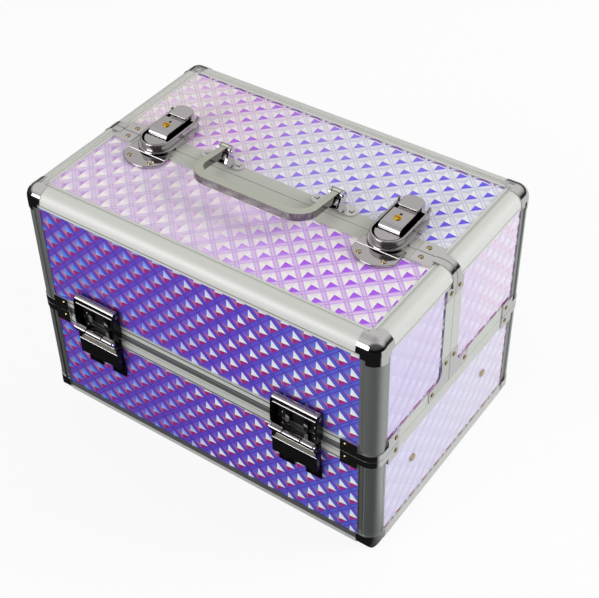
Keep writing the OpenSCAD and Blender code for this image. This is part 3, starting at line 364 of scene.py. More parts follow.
def cut_off(bm, spot, out, dist=1e-6):
    """Cuts a shape at a plane and throws away what lies beyond it; corners within dist count as on the plane."""
    return bmesh.ops.bisect_plane(bm, geom=everything(bm), dist=dist, plane_co=spot, plane_no=out, clear_outer=True)


def round_off(bm, edges, width, segments=2):
    """Bevels edges round, as far as their neighbours leave room."""
    bmesh.ops.bevel(bm, geom=edges, offset=width, segments=segments, profile=0.5, affect="EDGES",
                    clamp_overlap=True, material=-1)


def add_shape(bm, shape):
    """Moves a shape that was built by itself into the piece's own mesh."""
    loose = bpy.data.meshes.new("loose")
    shape.to_mesh(loose)
    shape.free()
    bm.from_mesh(loose)
    bpy.data.meshes.remove(loose)


def piece(name, bm, mat, body, stands_for, smooth_angle=None):
    """Makes a finished object of a bmesh and hangs it on its body."""
    mesh = bpy.data.meshes.new(name)
    bm.to_mesh(mesh)
    bm.free()
    obj = bpy.data.objects.new(name, mesh)
    bpy.context.collection.objects.link(obj)
    mesh.materials.append(mat)
    if smooth_angle is not None:
        mesh.shade_smooth()
        mesh.set_sharp_from_angle(angle=math.radians(smooth_angle))
        # Large flat faces stay flat right up to their rounded edges
        level = obj.modifiers.new("flat_faces", "WEIGHTED_NORMAL")
        level.keep_sharp = True
        level.weight = 90
    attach(obj, body)
    if stands_for:
        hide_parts(stands_for)
    return obj


# ---------- embossed sheets ----------

PITCH = 21.3 * MM       # repeat of the pyramids along both edges
PYRAMID = 7.6 * MM      # middle of a pyramid to its corner
RELIEF = 0.9 * MM       # height of a pyramid
END_RELIEF = 0.4 * MM   # on the ends, where the film is pressed flatter
PEAK_DROP = 1.3 * MM    # peaks below the case's outer face
LINE_GAP = 2.9 * MM     # between the twin lines that part the rows
LINE_W = 0.5 * MM
LINE_RISE = 0.22        # their height as a share of the pyramids'
GROUND_EDGE = 20 * MM   # from this length on, a cut edge is the flat ground's


def press_pyramids(sheet, low, high, phase, relief):
    """Staggered four-sided pyramids over the whole sheet and a little past its edges."""
    number = sheet.faces.layers.float["facet"]
    rise = sheet.verts.layers.float["rise"]
    columns = range(int((low[0] - phase[0]) / PITCH * 2) - 2, int((high[0] - phase[0]) / PITCH * 2) + 3)
    rows = range(int((low[1] - phase[1]) / PITCH * 2) - 2, int((high[1] - phase[1]) / PITCH * 2) + 3)
    for i in columns:
        for j in rows:
            if (i + j) % 2:
                continue
            x = phase[0] + i * PITCH / 2
            y = phase[1] + j * PITCH / 2
            if x < low[0] - PYRAMID or x > high[0] + PYRAMID or y < low[1] - PYRAMID or y > high[1] + PYRAMID:
                continue
            place = Matrix.Translation((x, y, -PEAK_DROP - relief / 2))
            cone = bmesh.ops.create_cone(sheet, cap_ends=True, segments=4, radius1=PYRAMID, radius2=0,
                                         depth=relief, matrix=place)
            max(cone["verts"], key=lambda v: v.co.z)[rise] = 1.0
            for face in faces_of(cone["verts"]):
                out = face.calc_center_median() - Vector((x, y, 0))
                if len(face.verts) == 4:
                    face[number] = FACETS.index("ground")
                else:
                    up_down = "up" if out.y > 0 else "down"
                    face[number] = FACETS.index(up_down + ("_right" if out.x > 0 else "_left"))


def press_lines(sheet, low, high, phase, relief):
    """Twin lines between the rows, both ways."""
    number = sheet.faces.layers.float["facet"]
    middle = Vector([(a + b) / 2 for a, b in zip(low, high)] + [0])
    reach = (high[0] - low[0] + high[1] - low[1]) / 2
    steps = int(reach * 2 / PITCH) + 4
    for way in (1, -1):
        across = Vector((math.sin(math.pi / 4), -way * math.cos(math.pi / 4), 0))
        along = Vector((across.y, -across.x, 0))
        for k in range(-steps, steps):
            for side in (-0.5, 0.5):
                offset = (k + 0.5) * PITCH / math.sqrt(2) + side * LINE_GAP
                spot = Vector((phase[0], phase[1], -PEAK_DROP - relief)) + across * offset
                spot += along * (middle - spot).dot(along)
                if (spot.xy - middle.xy).length > reach:
                    continue
                place = Matrix.Translation(spot) @ Matrix.Rotation(way * math.pi / 4, 4, "Z") @ Matrix.Diagonal(
                    (reach * 2.2, LINE_W, relief * LINE_RISE * 2, 1))
                bar = bmesh.ops.create_cube(sheet, size=1, matrix=place)
                for face in faces_of(bar["verts"]):
                    face[number] = FACETS.index("line")


def emboss(bm, turn, low, high, phase, relief):
    """Presses pyramids and twin lines on a flat sheet; turn stands the sheet up where it belongs."""
    sheet = bmesh.new()
    sheet.faces.layers.float.new("facet")
    sheet.verts.layers.float.new("rise")
    ground = bmesh.ops.create_grid(sheet, x_segments=1, y_segments=1, size=0.5)
    bmesh.ops.scale(sheet, vec=(high[0] - low[0], high[1] - low[1], 1), verts=ground["verts"])
    bmesh.ops.translate(sheet, vec=((low[0] + high[0]) / 2, (low[1] + high[1]) / 2, -PEAK_DROP - relief),
                        verts=ground["verts"])
    press_pyramids(sheet, low, high, phase, relief)
    press_lines(sheet, low, high, phase, relief)
    for spot, out in (((low[0], 0, 0), (-1, 0, 0)), ((high[0], 0, 0), (1, 0, 0)),
                      ((0, low[1], 0), (0, -1, 0)), ((0, high[1], 0), (0, 1, 0))):
        cut = cut_off(sheet, spot, out, 1e-7)
        edges = [e for e in cut["geom_cut"] if isinstance(e, bmesh.types.BMEdge) and e.is_boundary]
        # Pyramids and lines are closed where they are cut; the ground's long edges stay open
        bmesh.ops.edgeloop_fill(sheet, edges=[e for e in edges if len(e.link_faces[0].verts) != 4
                                              or e.calc_length() < GROUND_EDGE])
    bmesh.ops.transform(sheet, matrix=turn, verts=sheet.verts)
    if turn.determinant() < 0:
        bmesh.ops.reverse_faces(sheet, faces=sheet.faces)
    add_shape(bm, sheet)


def facing(out, right, up, spot):
    """Stands a flat sheet up: its own X runs along right, its Y along up and its Z out of the case."""
    turn = Matrix((right, up, out)).transposed().to_4x4()
    return Matrix.Translation(spot) @ turn


def embossed_sheet(node, mat, body, parts, relief=RELIEF):
    """The embossing of one node's sheets; a part is (the face's turn, low corner, high corner, the rows' phase)."""
    bm = bmesh.new()
    for turn, low, high, phase in parts:
        emboss(bm, turn, low, high, phase, relief)
    return piece(node.replace("_sheet", "_embossing"), bm, mat, body, stands_for=node)


X, Y, Z = Vector((1, 0, 0)), Vector((0, 1, 0)), Vector((0, 0, 1))
front_face = facing(-Y, X, Z, (0, FRONT_Y, 0))
back_face = facing(Y, -X, Z, (0, BACK_Y, 0))
right_face = facing(X, Y, Z, (HALF_W, 0, 0))
left_face = facing(-X, -Y, Z, (-HALF_W, 0, 0))
top_face = facing(Z, X, Y, (0, 0, TOP_Z))

# Where a pyramid's middle falls on each kind of face
LID_WALL_PHASE = (5.1 * MM, 5.25 * MM)
BASE_WALL_PHASE = (5.85 * MM, 9.3 * MM)
FRONT_TOP_PHASE = (0.8 * MM, -9.7 * MM)
REAR_TOP_PHASE = (78.5 * MM, 102.8 * MM)
END_PHASE = (10.0 * MM, 16.0 * MM)

for node, body, turn, heights, phase in (
        ("front_front_sheet", "front_lid", front_face, LID_Z, LID_WALL_PHASE),
        ("base_front_sheet", "base", front_face, BASE_Z, BASE_WALL_PHASE),
        ("rear_back_sheet", "rear_lid", back_face, LID_Z, LID_WALL_PHASE),
        ("base_back_sheet", "base", back_face, BASE_Z, BASE_WALL_PHASE)):
    embossed_sheet(node, front_film, body, [(turn, (-SIDE, heights[0]), (SIDE, heights[1]), phase)])
for node, film, body, depths, phase in (
        ("front_top_sheet", front_top_film, "front_lid", FRONT_TOP_Y, FRONT_TOP_PHASE),
        ("rear_top_sheet", rear_top_film, "rear_lid", REAR_TOP_Y, REAR_TOP_PHASE)):
    embossed_sheet(node, film, body, [(top_face, (-SIDE, depths[0]), (SIDE, depths[1]), phase)])
for node, film, body, depths, heights in (
        ("front_end_sheets", end_film, "front_lid", FRONT_TOP_Y, LID_Z),
        ("rear_end_sheets", end_film, "rear_lid", REAR_TOP_Y, LID_Z),
        ("base_end_sheets", base_end_film, "base", WHOLE_Y, BASE_Z)):
    embossed_sheet(node, film, body,
                   [(right_face, (depths[0], heights[0]), (depths[1], heights[1]), END_PHASE),
                    (left_face, (-depths[1], heights[0]), (-depths[0], heights[1]), END_PHASE)], END_RELIEF)


# ---------- metal fittings ----------

WELD = 2e-6         # corners of a solid's mesh that are this close are one corner
SHARP = 28          # degrees between two faces from which their edge is a real one
FOLD = 0.5          # the same for a drawn shape's rims, in radians
LONG_PIN = 8 * MM   # rivets longer than this are pins


def solid_mesh(node):
    """A copy of a solid's own mesh, with its doubled corners merged."""
    bm = bmesh.new()
    bm.from_mesh(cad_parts[node].data)
    bmesh.ops.remove_doubles(bm, verts=bm.verts, dist=WELD)
    return bm


def softened(node, mat, body, width, segments=2):
    """A solid's own shape with its sharp edges rounded off, so that they catch the light."""
    bm = solid_mesh(node)
    bmesh.ops.dissolve_limit(bm, angle_limit=math.radians(0.6), verts=bm.verts, edges=bm.edges)
    sharp = [e for e in bm.edges if len(e.link_faces) == 2 and abs(e.calc_face_angle(0)) > math.radians(SHARP)]
    round_off(bm, sharp, width, segments)
    bmesh.ops.recalc_face_normals(bm, faces=bm.faces)
    return piece(node + "_soft", bm, mat, body, smooth_angle=SHARP, stands_for=node)


def islands(bm):
    """The vertices of each separate shell."""
    found = set()
    for start in bm.verts:
        if start in found:
            continue
        found.add(start)
        grown = [start]
        # The list grows while it is read, until nothing is left to add
        for v in grown:
            fresh = [w for w in (e.other_vert(v) for e in v.link_edges) if w not in found]
            found.update(fresh)
            grown += fresh
        yield grown


def domed(node, body):
    """Round-headed rivets at the places of the solid's flat-headed ones; its long pins stay pins."""
    shells = solid_mesh(node)
    bm = bmesh.new()
    for shell in islands(shells):
        low = Vector([min(v.co[i] for v in shell) for i in range(3)])
        high = Vector([max(v.co[i] for v in shell) for i in range(3)])
        span = high - low
        middle = (low + high) / 2
        if span.x > LONG_PIN:
            bmesh.ops.create_cone(bm, cap_ends=True, segments=24, radius1=span.y / 2, radius2=span.y / 2,
                                  depth=span.x,
                                  matrix=Matrix.Translation(middle) @ Matrix.Rotation(math.pi / 2, 4, "Y"))
            continue
        axis = span[:].index(min(span))
        centre = (0, MID_Y, 0)[axis]
        out = 1 if axis == 2 or middle[axis] > centre else -1
        seat = low[axis] if out > 0 else high[axis]
        radius = sorted(span)[2] / 2
        tall = min(span)
        head = bmesh.ops.create_uvsphere(bm, u_segments=24, v_segments=12, radius=radius)["verts"]
        size = [1.0, 1.0, 1.0]
        size[axis] = tall / radius
        bmesh.ops.scale(bm, vec=size, verts=head)
        spot = middle.copy()
        spot[axis] = seat
        bmesh.ops.translate(bm, vec=spot, verts=head)
    shells.free()
    return piece(node.replace("rivets", "round_heads"), bm, rivet_metal, body, smooth_angle=40,
                 stands_for=node)


def slab(bm, verts_low, tall, round_edge=0.0, segments=3):
    """Thickens a flat face upwards and rounds the edges of its top."""
    top = new_verts(bmesh.ops.extrude_face_region(bm, geom=faces_of(verts_low)))
    bmesh.ops.translate(bm, vec=(0, 0, tall), verts=top)
    if round_edge:
        high = max(v.co.z for v in top)
        rim = [e for e in edges_of(top)
               if all(abs(v.co.z - high) < 1e-7 for v in e.verts) and len(e.link_faces) == 2
               and e.calc_face_angle(0) > FOLD]
        round_off(bm, rim, round_edge, segments)


def stadium_face(bm, half, y0, y1, z, segments=48):
    """A flat face with round ends."""
    made = bmesh.ops.create_circle(bm, cap_ends=True, segments=segments, radius=half)["verts"]
    bmesh.ops.translate(bm, vec=(0, 0, z), verts=made)
    bmesh.ops.translate(bm, vec=(0, y1 - half, 0), verts=[v for v in made if v.co.y > 1e-6])
    bmesh.ops.translate(bm, vec=(0, y0 + half, 0), verts=[v for v in made if v.co.y < -1e-6])
    return made


def box(bm, low, high, round_edge=0.0, segments=2):
    """A block between two corners with rounded edges."""
    size = [b - a for a, b in zip(low, high)]
    place = Matrix.Translation([(a + b) / 2 for a, b in zip(low, high)]) @ Matrix.Diagonal((*size, 1))
    made = bmesh.ops.create_cube(bm, size=1, matrix=place)["verts"]
    if round_edge:
        round_off(bm, edges_of(made), round_edge, segments)


def rod(bm, radius, start, end, segments, round_edge):
    """A round bar between two points, with rounded ends."""
    start, end = Vector(start), Vector(end)
    turn = (end - start).to_track_quat("Z", "Y").to_matrix().to_4x4()
    made = bmesh.ops.create_cone(bm, cap_ends=True, segments=segments, radius1=radius, radius2=radius,
                                 depth=(end - start).length, matrix=Matrix.Translation((start + end) / 2) @ turn)
    rims = [e for e in edges_of(made["verts"]) if any(len(f.verts) > 4 for f in e.link_faces)]
    round_off(bm, rims, round_edge)


def ball(bm, spot, radii):
    """An oval ball."""
    bmesh.ops.create_uvsphere(bm, u_segments=20, v_segments=10, radius=1,
                              matrix=Matrix.Translation(spot) @ Matrix.Diagonal((*radii, 1)))


def placed(name, draw, mat, body, spot, stands_for=None):
    """Turns the shapes that draw() makes, in millimetres about a spot, into one finished piece."""
    bm = bmesh.new()
    draw(bm)
    bmesh.ops.transform(bm, matrix=Matrix.Translation(spot) @ Matrix.Scale(MM, 4), verts=bm.verts)
    bmesh.ops.recalc_face_normals(bm, faces=bm.faces)
    return piece(name, bm, mat, body, smooth_angle=32, stands_for=stands_for)


# ---------- the two top locks, in millimetres about the split ----------

SEAT_Z = -1.4       # the top sheets' ground, on which locks and strikes sit


def lock_strike(bm):
    """A D-shaped plate in front of the lock, stepped up along its straight side."""
    straight_side = -9
    # Each step: the height of its top, half its width, and how far it reaches to the front
    for top, half, front in ((0.6, 20.5, -40), (1.3, 20.2, -19.5)):
        disc = bmesh.new()
        made = bmesh.ops.create_circle(disc, cap_ends=True, segments=96, radius=25)["verts"]
        bmesh.ops.translate(disc, vec=(0, -12, SEAT_Z), verts=made)
        for spot, out in (((half, 0, 0), (1, 0, 0)), ((-half, 0, 0), (-1, 0, 0)),
                          ((0, straight_side, 0), (0, 1, 0)), ((0, front, 0), (0, -1, 0))):
            cut_off(disc, spot, out)
        slab(disc, disc.verts[:], top - SEAT_Z, 0.6)
        add_shape(bm, disc)


def lock_tub(bm):
    """A pressed tub with a rolled rim, a wide foot, and its raised front plate."""
    seat = bmesh.new()
    slab(seat, stadium_face(seat, 17.5, 0.3, 44, SEAT_Z), 3.8, 0.5)
    slab(seat, stadium_face(seat, 17.5, -20.5, 44, 2.4), 1.4, 0.9)
    slab(seat, stadium_face(seat, 15.2, -18.2, 42, 3.2), 2.8, 0.4)
    # Wall and rolled rim
    wall = bmesh.new()
    made = stadium_face(wall, 15.5, -18.5, 46, 3.2, 64)
    slab(wall, made, 7.3)
    top = [f for f in wall.faces if f.normal.z > 0.9 and f.calc_center_median().z > 9][:1]
    bmesh.ops.inset_region(wall, faces=top, thickness=2.2, use_even_offset=True)
    top[0].normal_update()
    sunk = bmesh.ops.extrude_face_region(wall, geom=top)
    bmesh.ops.delete(wall, geom=top, context="FACES_ONLY")
    bmesh.ops.translate(wall, vec=(0, 0, -4.5), verts=new_verts(sunk))
    rims = [e for e in wall.edges if all(v.co.z > 10.4 for v in e.verts) and e.calc_face_angle(0) > FOLD]
    round_off(wall, rims, 0.9, 4)
    # The waist below the rim draws in
    cut = bmesh.ops.bisect_plane(wall, geom=everything(wall), dist=1e-6, plane_co=(0, 0, 7.4), plane_no=(0, 0, 1))
    waist = [g for g in cut["geom_cut"] if isinstance(g, bmesh.types.BMVert)]
    outer = [v for v in waist if v.co.x ** 2 + min(0.0, v.co.y + 3) ** 2 > 14.9 ** 2]
    bmesh.ops.scale(wall, vec=(0.95, 0.985, 1), verts=outer)
    cut_off(wall, (0, 35.5, 0), (0, 1, 0))
    bmesh.ops.holes_fill(wall, edges=[e for e in wall.edges if e.is_boundary], sides=0)
    # Raised plate in front of the lever
    plate = bmesh.new()
    disc = bmesh.ops.create_circle(plate, cap_ends=True, segments=64, radius=11.9)["verts"]
    bmesh.ops.translate(plate, vec=(0, -3, 5.2), verts=disc)
    cut_off(plate, (0, -4.3, 0), (0, 1, 0))
    slab(plate, plate.verts[:], 4.2, 1.3, 4)
    for shape in (seat, wall, plate):
        add_shape(bm, shape)
    for side in (-1, 1):
        # Curled ends of the rim, and the ears that take the lock's own rivets
        ball(bm, (side * 14.3, 35.4, 10.6), (1.5, 2.6, 3.0))
        rod(bm, 3.2, (side * 17.2, 14.5, 2.4), (side * 17.2, 14.5, 3.9), 24, 0.4)
        ball(bm, (side * 17.9, 14.5, 3.8), (1.9, 1.9, 1.3))


def lock_cover(bm):
    """The lever: a thick key plate that rolls over at its front, and a curled tongue behind it."""
    rod(bm, 5.0, (-10.1, 1.5, 9.0), (10.1, 1.5, 9.0), 40, 0.5)
    box(bm, (-10.1, 1.8, 10.0), (10.1, 21.0, 14.0), 0.5, 3)
    box(bm, (-8.6, 20.0, 10.0), (8.6, 27.0, 11.4), 0.3)
    tongue = bmesh.new()
    tip = 34.8
    made = bmesh.ops.create_circle(tongue, cap_ends=True, segments=64, radius=9.8)["verts"]
    bmesh.ops.scale(tongue, vec=(1, 0.62, 1), verts=made)
    bmesh.ops.translate(tongue, vec=(0, tip, 10.1), verts=made)
    bmesh.ops.translate(tongue, vec=(0, -7, 0), verts=[v for v in made if v.co.y < tip - 0.01])
    cut_off(tongue, (0, 25.2, 0), (0, -1, 0))
    slab(tongue, tongue.verts[:], 4.6, 2.0, 5)
    # It rises a little towards its end
    for v in tongue.verts:
        if v.co.z > 11:
            v.co.z += 0.09 * (v.co.y - 25)
    add_shape(bm, tongue)


def lock_notches(bm):
    """The slot behind the key and the two openings between key plate and tongue, as dark blocks of painted shade.
    """
    box(bm, (-1.1, 14.2, 13.2), (1.1, 16.6, 14.04))
    box(bm, (-7.6, 21.6, 10.4), (-1.6, 23.6, 11.45))
    box(bm, (2.4, 21.6, 10.4), (7.0, 23.6, 11.45))


def key_barrel(bm):
    """A stepped cylinder."""
    rod(bm, 3.3, (0, 10, 12.0), (0, 10, 14.8), 40, 0.45)
    rod(bm, 1.9, (0, 10, 14.5), (0, 10, 15.1), 32, 0.25)


def key_slot(bm):
    """The keyhole across the cylinder's face, as a dark block of painted shade."""
    box(bm, (-2.3, 9.65, 14.6), (2.3, 10.35, 15.14))


HANDS = ((-1, "left"), (1, "right"))

for side, hand in HANDS:
    spot = (side * LOCK_X, SPLIT_Y, TOP_Z)
    # One pair of tubs and one pair of strikes stand for a node that holds both
    placed("lock_tub_" + hand, lock_tub, greyed_shade_chrome, "rear_lid", spot, "lock_bases")
    placed("lock_strike_" + hand, lock_strike, greyed_shade_chrome, "front_lid", spot, "strike_plates")
    placed("lock_cover_" + hand, lock_cover, greyed_shade_chrome, "lock_lever_" + hand, spot, "lock_lever_" + hand)
    placed("lock_notches_" + hand, lock_notches, recess, "lock_lever_" + hand, spot)
    placed("key_barrel_" + hand, key_barrel, brass, "lock_key_" + hand, spot, "lock_key_" + hand)
    placed("key_slot_" + hand, key_slot, recess, "lock_key_" + hand, spot, None)

# ---------- the two front latches, in millimetres about the seam at the front face ----------

# Out from the face and up from the seam: the lever's pin, and the axis on which the lid turns
LEVER_PIN = (5.5, -9.0)
LID_PIN = (11.0, 0.0)


def bar_across(bm, x0, x1, out, up, radius, round_edge):
    """A round bar along the latch's width."""
    rod(bm, radius, (x0, -out, up), (x1, -out, up), 32, round_edge)


def block_across(bm, x0, x1, outs, ups, round_edge=0.25):
    """A block between two distances out from the face and two heights from the seam."""
    box(bm, (x0, -outs[1], ups[0]), (x1, -outs[0], ups[1]), round_edge)


def prism_across(bm, x0, x1, outline, round_edge):
    """A bar whose outline is given out from the face and up from the seam."""
    bar = bmesh.new()
    rim = [bmesh.ops.create_vert(bar, co=(x0, -out, up))["vert"][0] for out, up in outline]
    face = bmesh.ops.contextual_create(bar, geom=rim)["faces"][0]
    raised = bmesh.ops.extrude_face_region(bar, geom=[face])
    bmesh.ops.translate(bar, vec=(x1 - x0, 0, 0), verts=new_verts(raised))
    round_off(bar, bar.edges[:], round_edge)
    add_shape(bm, bar)


def keeper_plate(bm):
    """Above the seam: a plate that rolls over at its top, with a raised line along the roll, ribs and knuckles."""
    block_across(bm, -23, 23, (-0.8, 0.8), (5, 29))
    bar_across(bm, -22.6, 22.6, 3.8, 29.0, 4.0, 0.9)
    bar_across(bm, -22.2, 22.2, 6.6, 25.6, 1.2, 0.5)
    prism_across(bm, -22.8, 22.8, [(0.2, 24.5), (6.4, 24.5), (7.4, 26.8), (6.4, 30.0), (0.2, 30.0)], 0.5)
    for side in (-1, 1):
        block_across(bm, side * 9 - 2, side * 9 + 2, (0.5, 4.3), (6, 24))
        block_across(bm, side * 15.5 - 5.9, side * 15.5 + 5.9, (0.2, 10.4), (2.6, 4.4))
        bar_across(bm, side * 15.4 - 6, side * 15.4 + 6, LID_PIN[0], LID_PIN[1], 2.7, 0.6)
        ball(bm, (side * 22.4, -4.2, 27.6), (1.5, 2.2, 2.2))
        for up in (10.5, 20.0):
            ball(bm, (side * 16, -0.8, up), (1.7, 1.0, 1.7))


def keeper_cheeks(bm):
    """Side walls that close the keeper's roll."""
    for side in (-1, 1):
        x = side * 22.2
        prism_across(bm, x - 0.8, x + 0.8,
                     [(0, 1.2), (9.4, 4), (9.4, 13), (8.4, 28), (6.8, 31.6), (0, 31.6)], 0.3)


def keeper_window(bm):
    """The dark ground behind the ribs, painted black as the shade in the recess."""
    block_across(bm, -20.8, 20.8, (0.6, 1.0), (5.4, 24.2), 0.1)


def base_plate(bm):
    """Below the seam: a plate with two ears at its foot, and cheeks for the lever's pin."""
    block_across(bm, -20.6, 20.6, (-0.8, 0.8), (-34.6, -4))
    bar_across(bm, -20.6, 20.6, LEVER_PIN[0], LEVER_PIN[1], 1.5, 0.3)
    for side in (-1, 1):
        block_across(bm, side * 13.7 - 8, side * 13.7 + 8, (-0.8, 0.8), (-49, -34), 0.4)
        x = side * 19.8
        prism_across(bm, x - 0.75, x + 0.75,
                     [(0.4, -12), (5.2, -12), (8.2, -10), (8.2, -8), (5.6, -6.2), (0.4, -6.2)], 0.2)


def base_knuckle(bm):
    """The base's own knuckle on the lid's pin, and the flap that carries it."""
    bar_across(bm, -8.8, 8.8, LID_PIN[0], LID_PIN[1], 2.7, 0.6)
    block_across(bm, -8.8, 8.8, (0.4, 10.4), (-4.1, -2.0))


def lever_shell(bm):
    """The lever: a sloping shoulder over a flat upright face."""
    fold, foot = -16.0, -32.0
    face, back = 8.6, 7.1
    prism_across(bm, -22.4, 22.4, [(4.4, -13.0), (7.9, -15.2), (face, fold), (face, foot), (back, foot),
                                   (back, fold - 1.0), (4.4, -14.8)], 0.35)
    # Beads along the shoulder's top and its fold
    bar_across(bm, -22.2, 22.2, 4.9, -12.9, 0.7, 0.2)
    bar_across(bm, -22.2, 22.2, 8.1, -15.5, 0.7, 0.2)


def lever_shoulder(bm):
    """A satin band along the shoulder, whose grey stands in for the light it catches: a painted highlight."""
    prism_across(bm, -21.9, 21.9, [(4.5, -12.95), (8.0, -15.1), (8.3, -15.6), (8.2, -16.2), (4.5, -13.9)], 0.1)


def lever_sides(bm):
    """The lever's dark side walls with their round lugs."""
    for side in (-1, 1):
        x = side * 21.7
        bar_across(bm, x - 0.78, x + 0.78, LEVER_PIN[0], LEVER_PIN[1], 3.1, 0.3)
        prism_across(bm, x - 0.78, x + 0.78,
                     [(2.5, -9.4), (8.5, -9.4), (8.5, -31.9), (5.1, -31.9), (2.5, -15)], 0.2)


for side, hand in HANDS:
    spot = (side * LATCH_X, FRONT_Y, SEAM_Z)
    placed("latch_keeper_" + hand, keeper_plate, deep_shade_chrome, "front_lid", spot, "latch_keepers")
    placed("latch_cheeks_" + hand, keeper_cheeks, black_side, "front_lid", spot)
    placed("latch_window_" + hand, keeper_window, recess, "front_lid", spot)
    placed("latch_base_" + hand, base_plate, black_side, "base", spot, "latch_bases")
    placed("latch_knuckle_" + hand, base_knuckle, deep_shade_chrome, "base", spot)
    placed("latch_shell_" + hand, lever_shell, greyed_shade_chrome, "latch_lever_" + hand, spot, "latch_lever_" + hand)
    placed("latch_shoulder_" + hand, lever_shoulder, shoulder_light_steel, "latch_lever_" + hand, spot)
    placed("latch_sides_" + hand, lever_sides, black_side, "latch_lever_" + hand, spot)

# ---------- handle, plates and rivets ----------

LEVEL = 0.9     # how far up a face's normal points where it counts as level
handle = softened("handle", handle_top_light_chrome, "handle", 0.6 * MM, 3)
# Painted shade: the handle's faces that are not level take the dark copy
handle.data.materials.append(handle_side_shade_chrome)
for face in handle.data.polygons:
    face.material_index = 1 if abs(face.normal.z) < LEVEL else 0
softened("handle_brackets", chrome, "rear_lid", 0.35 * MM)
for node, body in (("base_seam_plates", "base"), ("front_seam_plates", "front_lid"),
                   ("rear_seam_plates", "rear_lid"), ("front_split_plates", "front_lid"),
                   ("rear_split_plates", "rear_lid")):
    softened(node, chrome, body, 0.25 * MM)
for node, body in (("base_rivets", "base"), ("front_rivets", "front_lid"), ("rear_rivets", "rear_lid")):
    domed(node, body)


# ---------- finishes of the solids that show as they are ----------

def finish_nodes(mat, names):
    """Gives solids that show as they are their material."""
    for name in names:
        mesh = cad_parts[name].data
        mesh.materials.clear()
        mesh.materials.append(mat)


finish_nodes(board, ["base_box", "front_box", "rear_box"])
finish_nodes(lining_felt, ["base_lining", "front_lining", "rear_lining"])
finish_nodes(rail_metal, ["front_rails", "rear_rails"])
finish_nodes(post_metal, ["base_posts"])
finish_nodes(strip_metal, ["base_bottom_trim", "base_rim", "front_rim", "rear_rim", "front_split_trim",
                           "rear_split_trim"])
finish_nodes(chrome, ["corner_shoes", "front_corner_caps", "rear_corner_caps", "hinge_lower_leaves",
                      "hinge_upper_leaves", "hinge_pins"])
finish_nodes(steel, ["front_arms", "rear_arms", "front_links", "rear_links"])
finish_nodes(tray_plastic, ["front_lower_tray", "front_upper_tray", "rear_lower_tray", "rear_upper_tray"])

# ---------- studio ----------

floor_bm = bmesh.new()
bmesh.ops.create_grid(floor_bm, x_segments=1, y_segments=1, size=6.0)
floor_mesh = bpy.data.meshes.new("floor")
floor_bm.to_mesh(floor_mesh)
floor_bm.free()
floor = bpy.data.objects.new("floor", floor_mesh)
bpy.context.collection.objects.link(floor)
floor_mat, floor_tree, floor_surface = new_material("white_paper_floor")
floor_surface.inputs["Base Color"].default_value = linear("f4f4f4")
floor_surface.inputs["Roughness"].default_value = 0.9
ray = shader_node(floor_tree, "LightPath", {})
glow = shader_node(floor_tree, "Emission", {"Color": (1, 1, 1, 1), "Strength": 1.0})
seen = shader_node(floor_tree, "Math", {"operation": "MULTIPLY", 1: 0.88}, {0: ray.outputs["Is Camera Ray"]})
both = shader_node(floor_tree, "MixShader", {},
                   {0: seen.outputs[0], 1: floor_surface.outputs[0], 2: glow.outputs[0]})
# In the case's own reflections the floor is painted: dark in front of it as a painted shadow of the case, and pale
# at its right as painted light
spread = shader_node(floor_tree, "TexCoord", {})
spots = shader_node(floor_tree, "SeparateXYZ", {}, {"Vector": spread.outputs["Object"]})
slant = shader_node(floor_tree, "Math", {"operation": "MULTIPLY_ADD", 1: 0.25},
                    {0: spots.outputs["X"], 2: spots.outputs["Y"]})
shade = shader_node(floor_tree, "MapRange", {"From Min": -0.075, "From Max": -0.02, "To Min": 0.012, "To Max": 0.7},
                    {"Value": slant.outputs[0]})
reflected_floor_paint = shader_node(floor_tree, "Emission", {"Color": (0.96, 0.98, 0.95, 1)},
                       {"Strength": shade.outputs["Result"]})
paper = shader_node(floor_tree, "MixShader", {},
                    {0: ray.outputs["Is Glossy Ray"], 1: both.outputs[0], 2: reflected_floor_paint.outputs[0]})
floor_tree.links.new(paper.outputs[0], floor_tree.nodes["Material Output"].inputs["Surface"])
floor_mesh.materials.append(floor_mat)

world = bpy.data.worlds.new("studio")
bpy.context.scene.world = world
world.use_nodes = True
sky = world.node_tree
sky_place = shader_node(sky, "TexCoord", {})
sky_parts = shader_node(sky, "SeparateXYZ", {}, {"Vector": sky_place.outputs["Generated"]})
sky_ramp = shader_node(sky, "ValToRGB", {}, {"Fac": sky_parts.outputs["Z"]})
set_ramp(sky_ramp, [(0.0, "5a5a5a"), (0.1, "262626"), (0.24, "3c3c3c"), (0.42, "b4b4b0"), (0.62, "e2e2de"),
                    (0.8, "e0e0dc"), (1.0, "b8b8b8")])
sky.links.new(sky_ramp.outputs["Color"], sky.nodes["Background"].inputs["Color"])
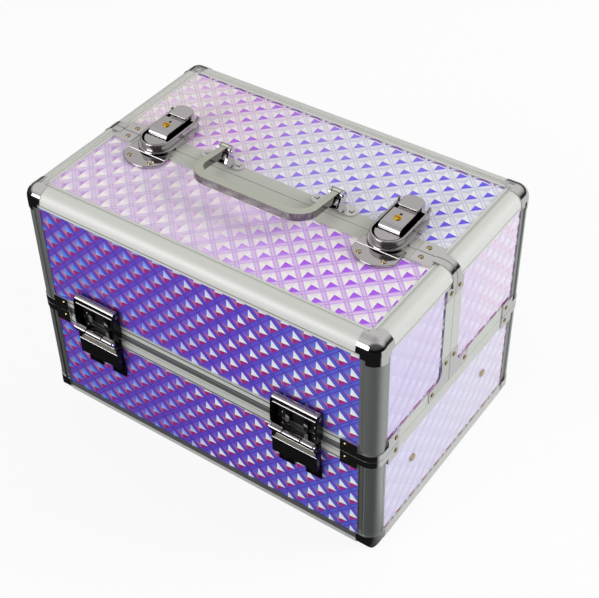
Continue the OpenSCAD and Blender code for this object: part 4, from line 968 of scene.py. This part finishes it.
# What the polished parts mirror is dark on the side where the viewer stands
SKY_LIGHT = 0.92
sky_ray = shader_node(sky, "LightPath", {})
to_front = shader_node(sky, "Math", {"operation": "MULTIPLY", 1: -0.8}, {0: sky_parts.outputs["Y"]})
to_viewer = shader_node(sky, "Math", {"operation": "MULTIPLY_ADD", 1: 0.6},
                        {0: sky_parts.outputs["X"], 2: to_front.outputs[0]})
dimmed = shader_node(sky, "MapRange", {"From Min": 0.3, "From Max": 0.55, "To Min": 0.0, "To Max": 0.86},
                     {"Value": to_viewer.outputs[0]})
lost = shader_node(sky, "Math", {"operation": "MULTIPLY"},
                   {0: dimmed.outputs["Result"], 1: sky_ray.outputs["Is Glossy Ray"]})
left = shader_node(sky, "MapRange", {"To Min": SKY_LIGHT, "To Max": 0.0}, {"Value": lost.outputs[0]})
sky.links.new(left.outputs["Result"], sky.nodes["Background"].inputs["Strength"])

AIM = (0, 0, 0.12)      # the middle of the closed case


def soft_lamp(name, spot, width, height, power):
    """An oblong of light, turned towards the case."""
    lamp = bpy.data.lights.new(name, "AREA")
    lamp.shape = "RECTANGLE"
    lamp.size = width
    lamp.size_y = height
    lamp.energy = power
    obj = bpy.data.objects.new(name, lamp)
    bpy.context.collection.objects.link(obj)
    obj.location = spot
    obj.rotation_euler = (Vector(AIM) - Vector(spot)).to_track_quat("-Z", "Y").to_euler()
    return obj


# The lamp at the back lights the case strongly but glints only faintly in the metal
BACK_RIGHT = (1.45, 1.15, 1.05)
soft_lamp("key_back_right", BACK_RIGHT, 1.3, 0.8, 24).visible_glossy = False
soft_lamp("glint_back_right", BACK_RIGHT, 1.3, 0.8, 7).visible_diffuse = False
soft_lamp("fill_front_left", (-0.75, -1.75, 0.85), 1.3, 0.9, 18)

# The view's width, focal length and shift, all in pixels
VIEW_W = 599
FOCAL = 1293.2
SHIFT = (20.35, -9.34)
camera_data = bpy.data.cameras.new("camera")
camera_data.sensor_width = 36
camera_data.lens = FOCAL / VIEW_W * camera_data.sensor_width
camera_data.shift_x = SHIFT[0] / VIEW_W
camera_data.shift_y = SHIFT[1] / VIEW_W
camera = bpy.data.objects.new("camera", camera_data)
bpy.context.collection.objects.link(camera)
VIEW_RIGHT = (0.8139, 0.5804, -0.0281)
VIEW_UP = (-0.3687, 0.5533, 0.7469)
VIEW_BACK = (0.449, -0.5975, 0.6643)
VIEW_FROM = (0.5241, -0.6974 + MID_Y, 0.8943)
look = Matrix((VIEW_RIGHT, VIEW_UP, VIEW_BACK)).transposed().to_4x4()
camera.matrix_world = Matrix.Translation(VIEW_FROM) @ look
bpy.context.scene.camera = camera
bpy.context.scene.view_settings.view_transform = "Standard"
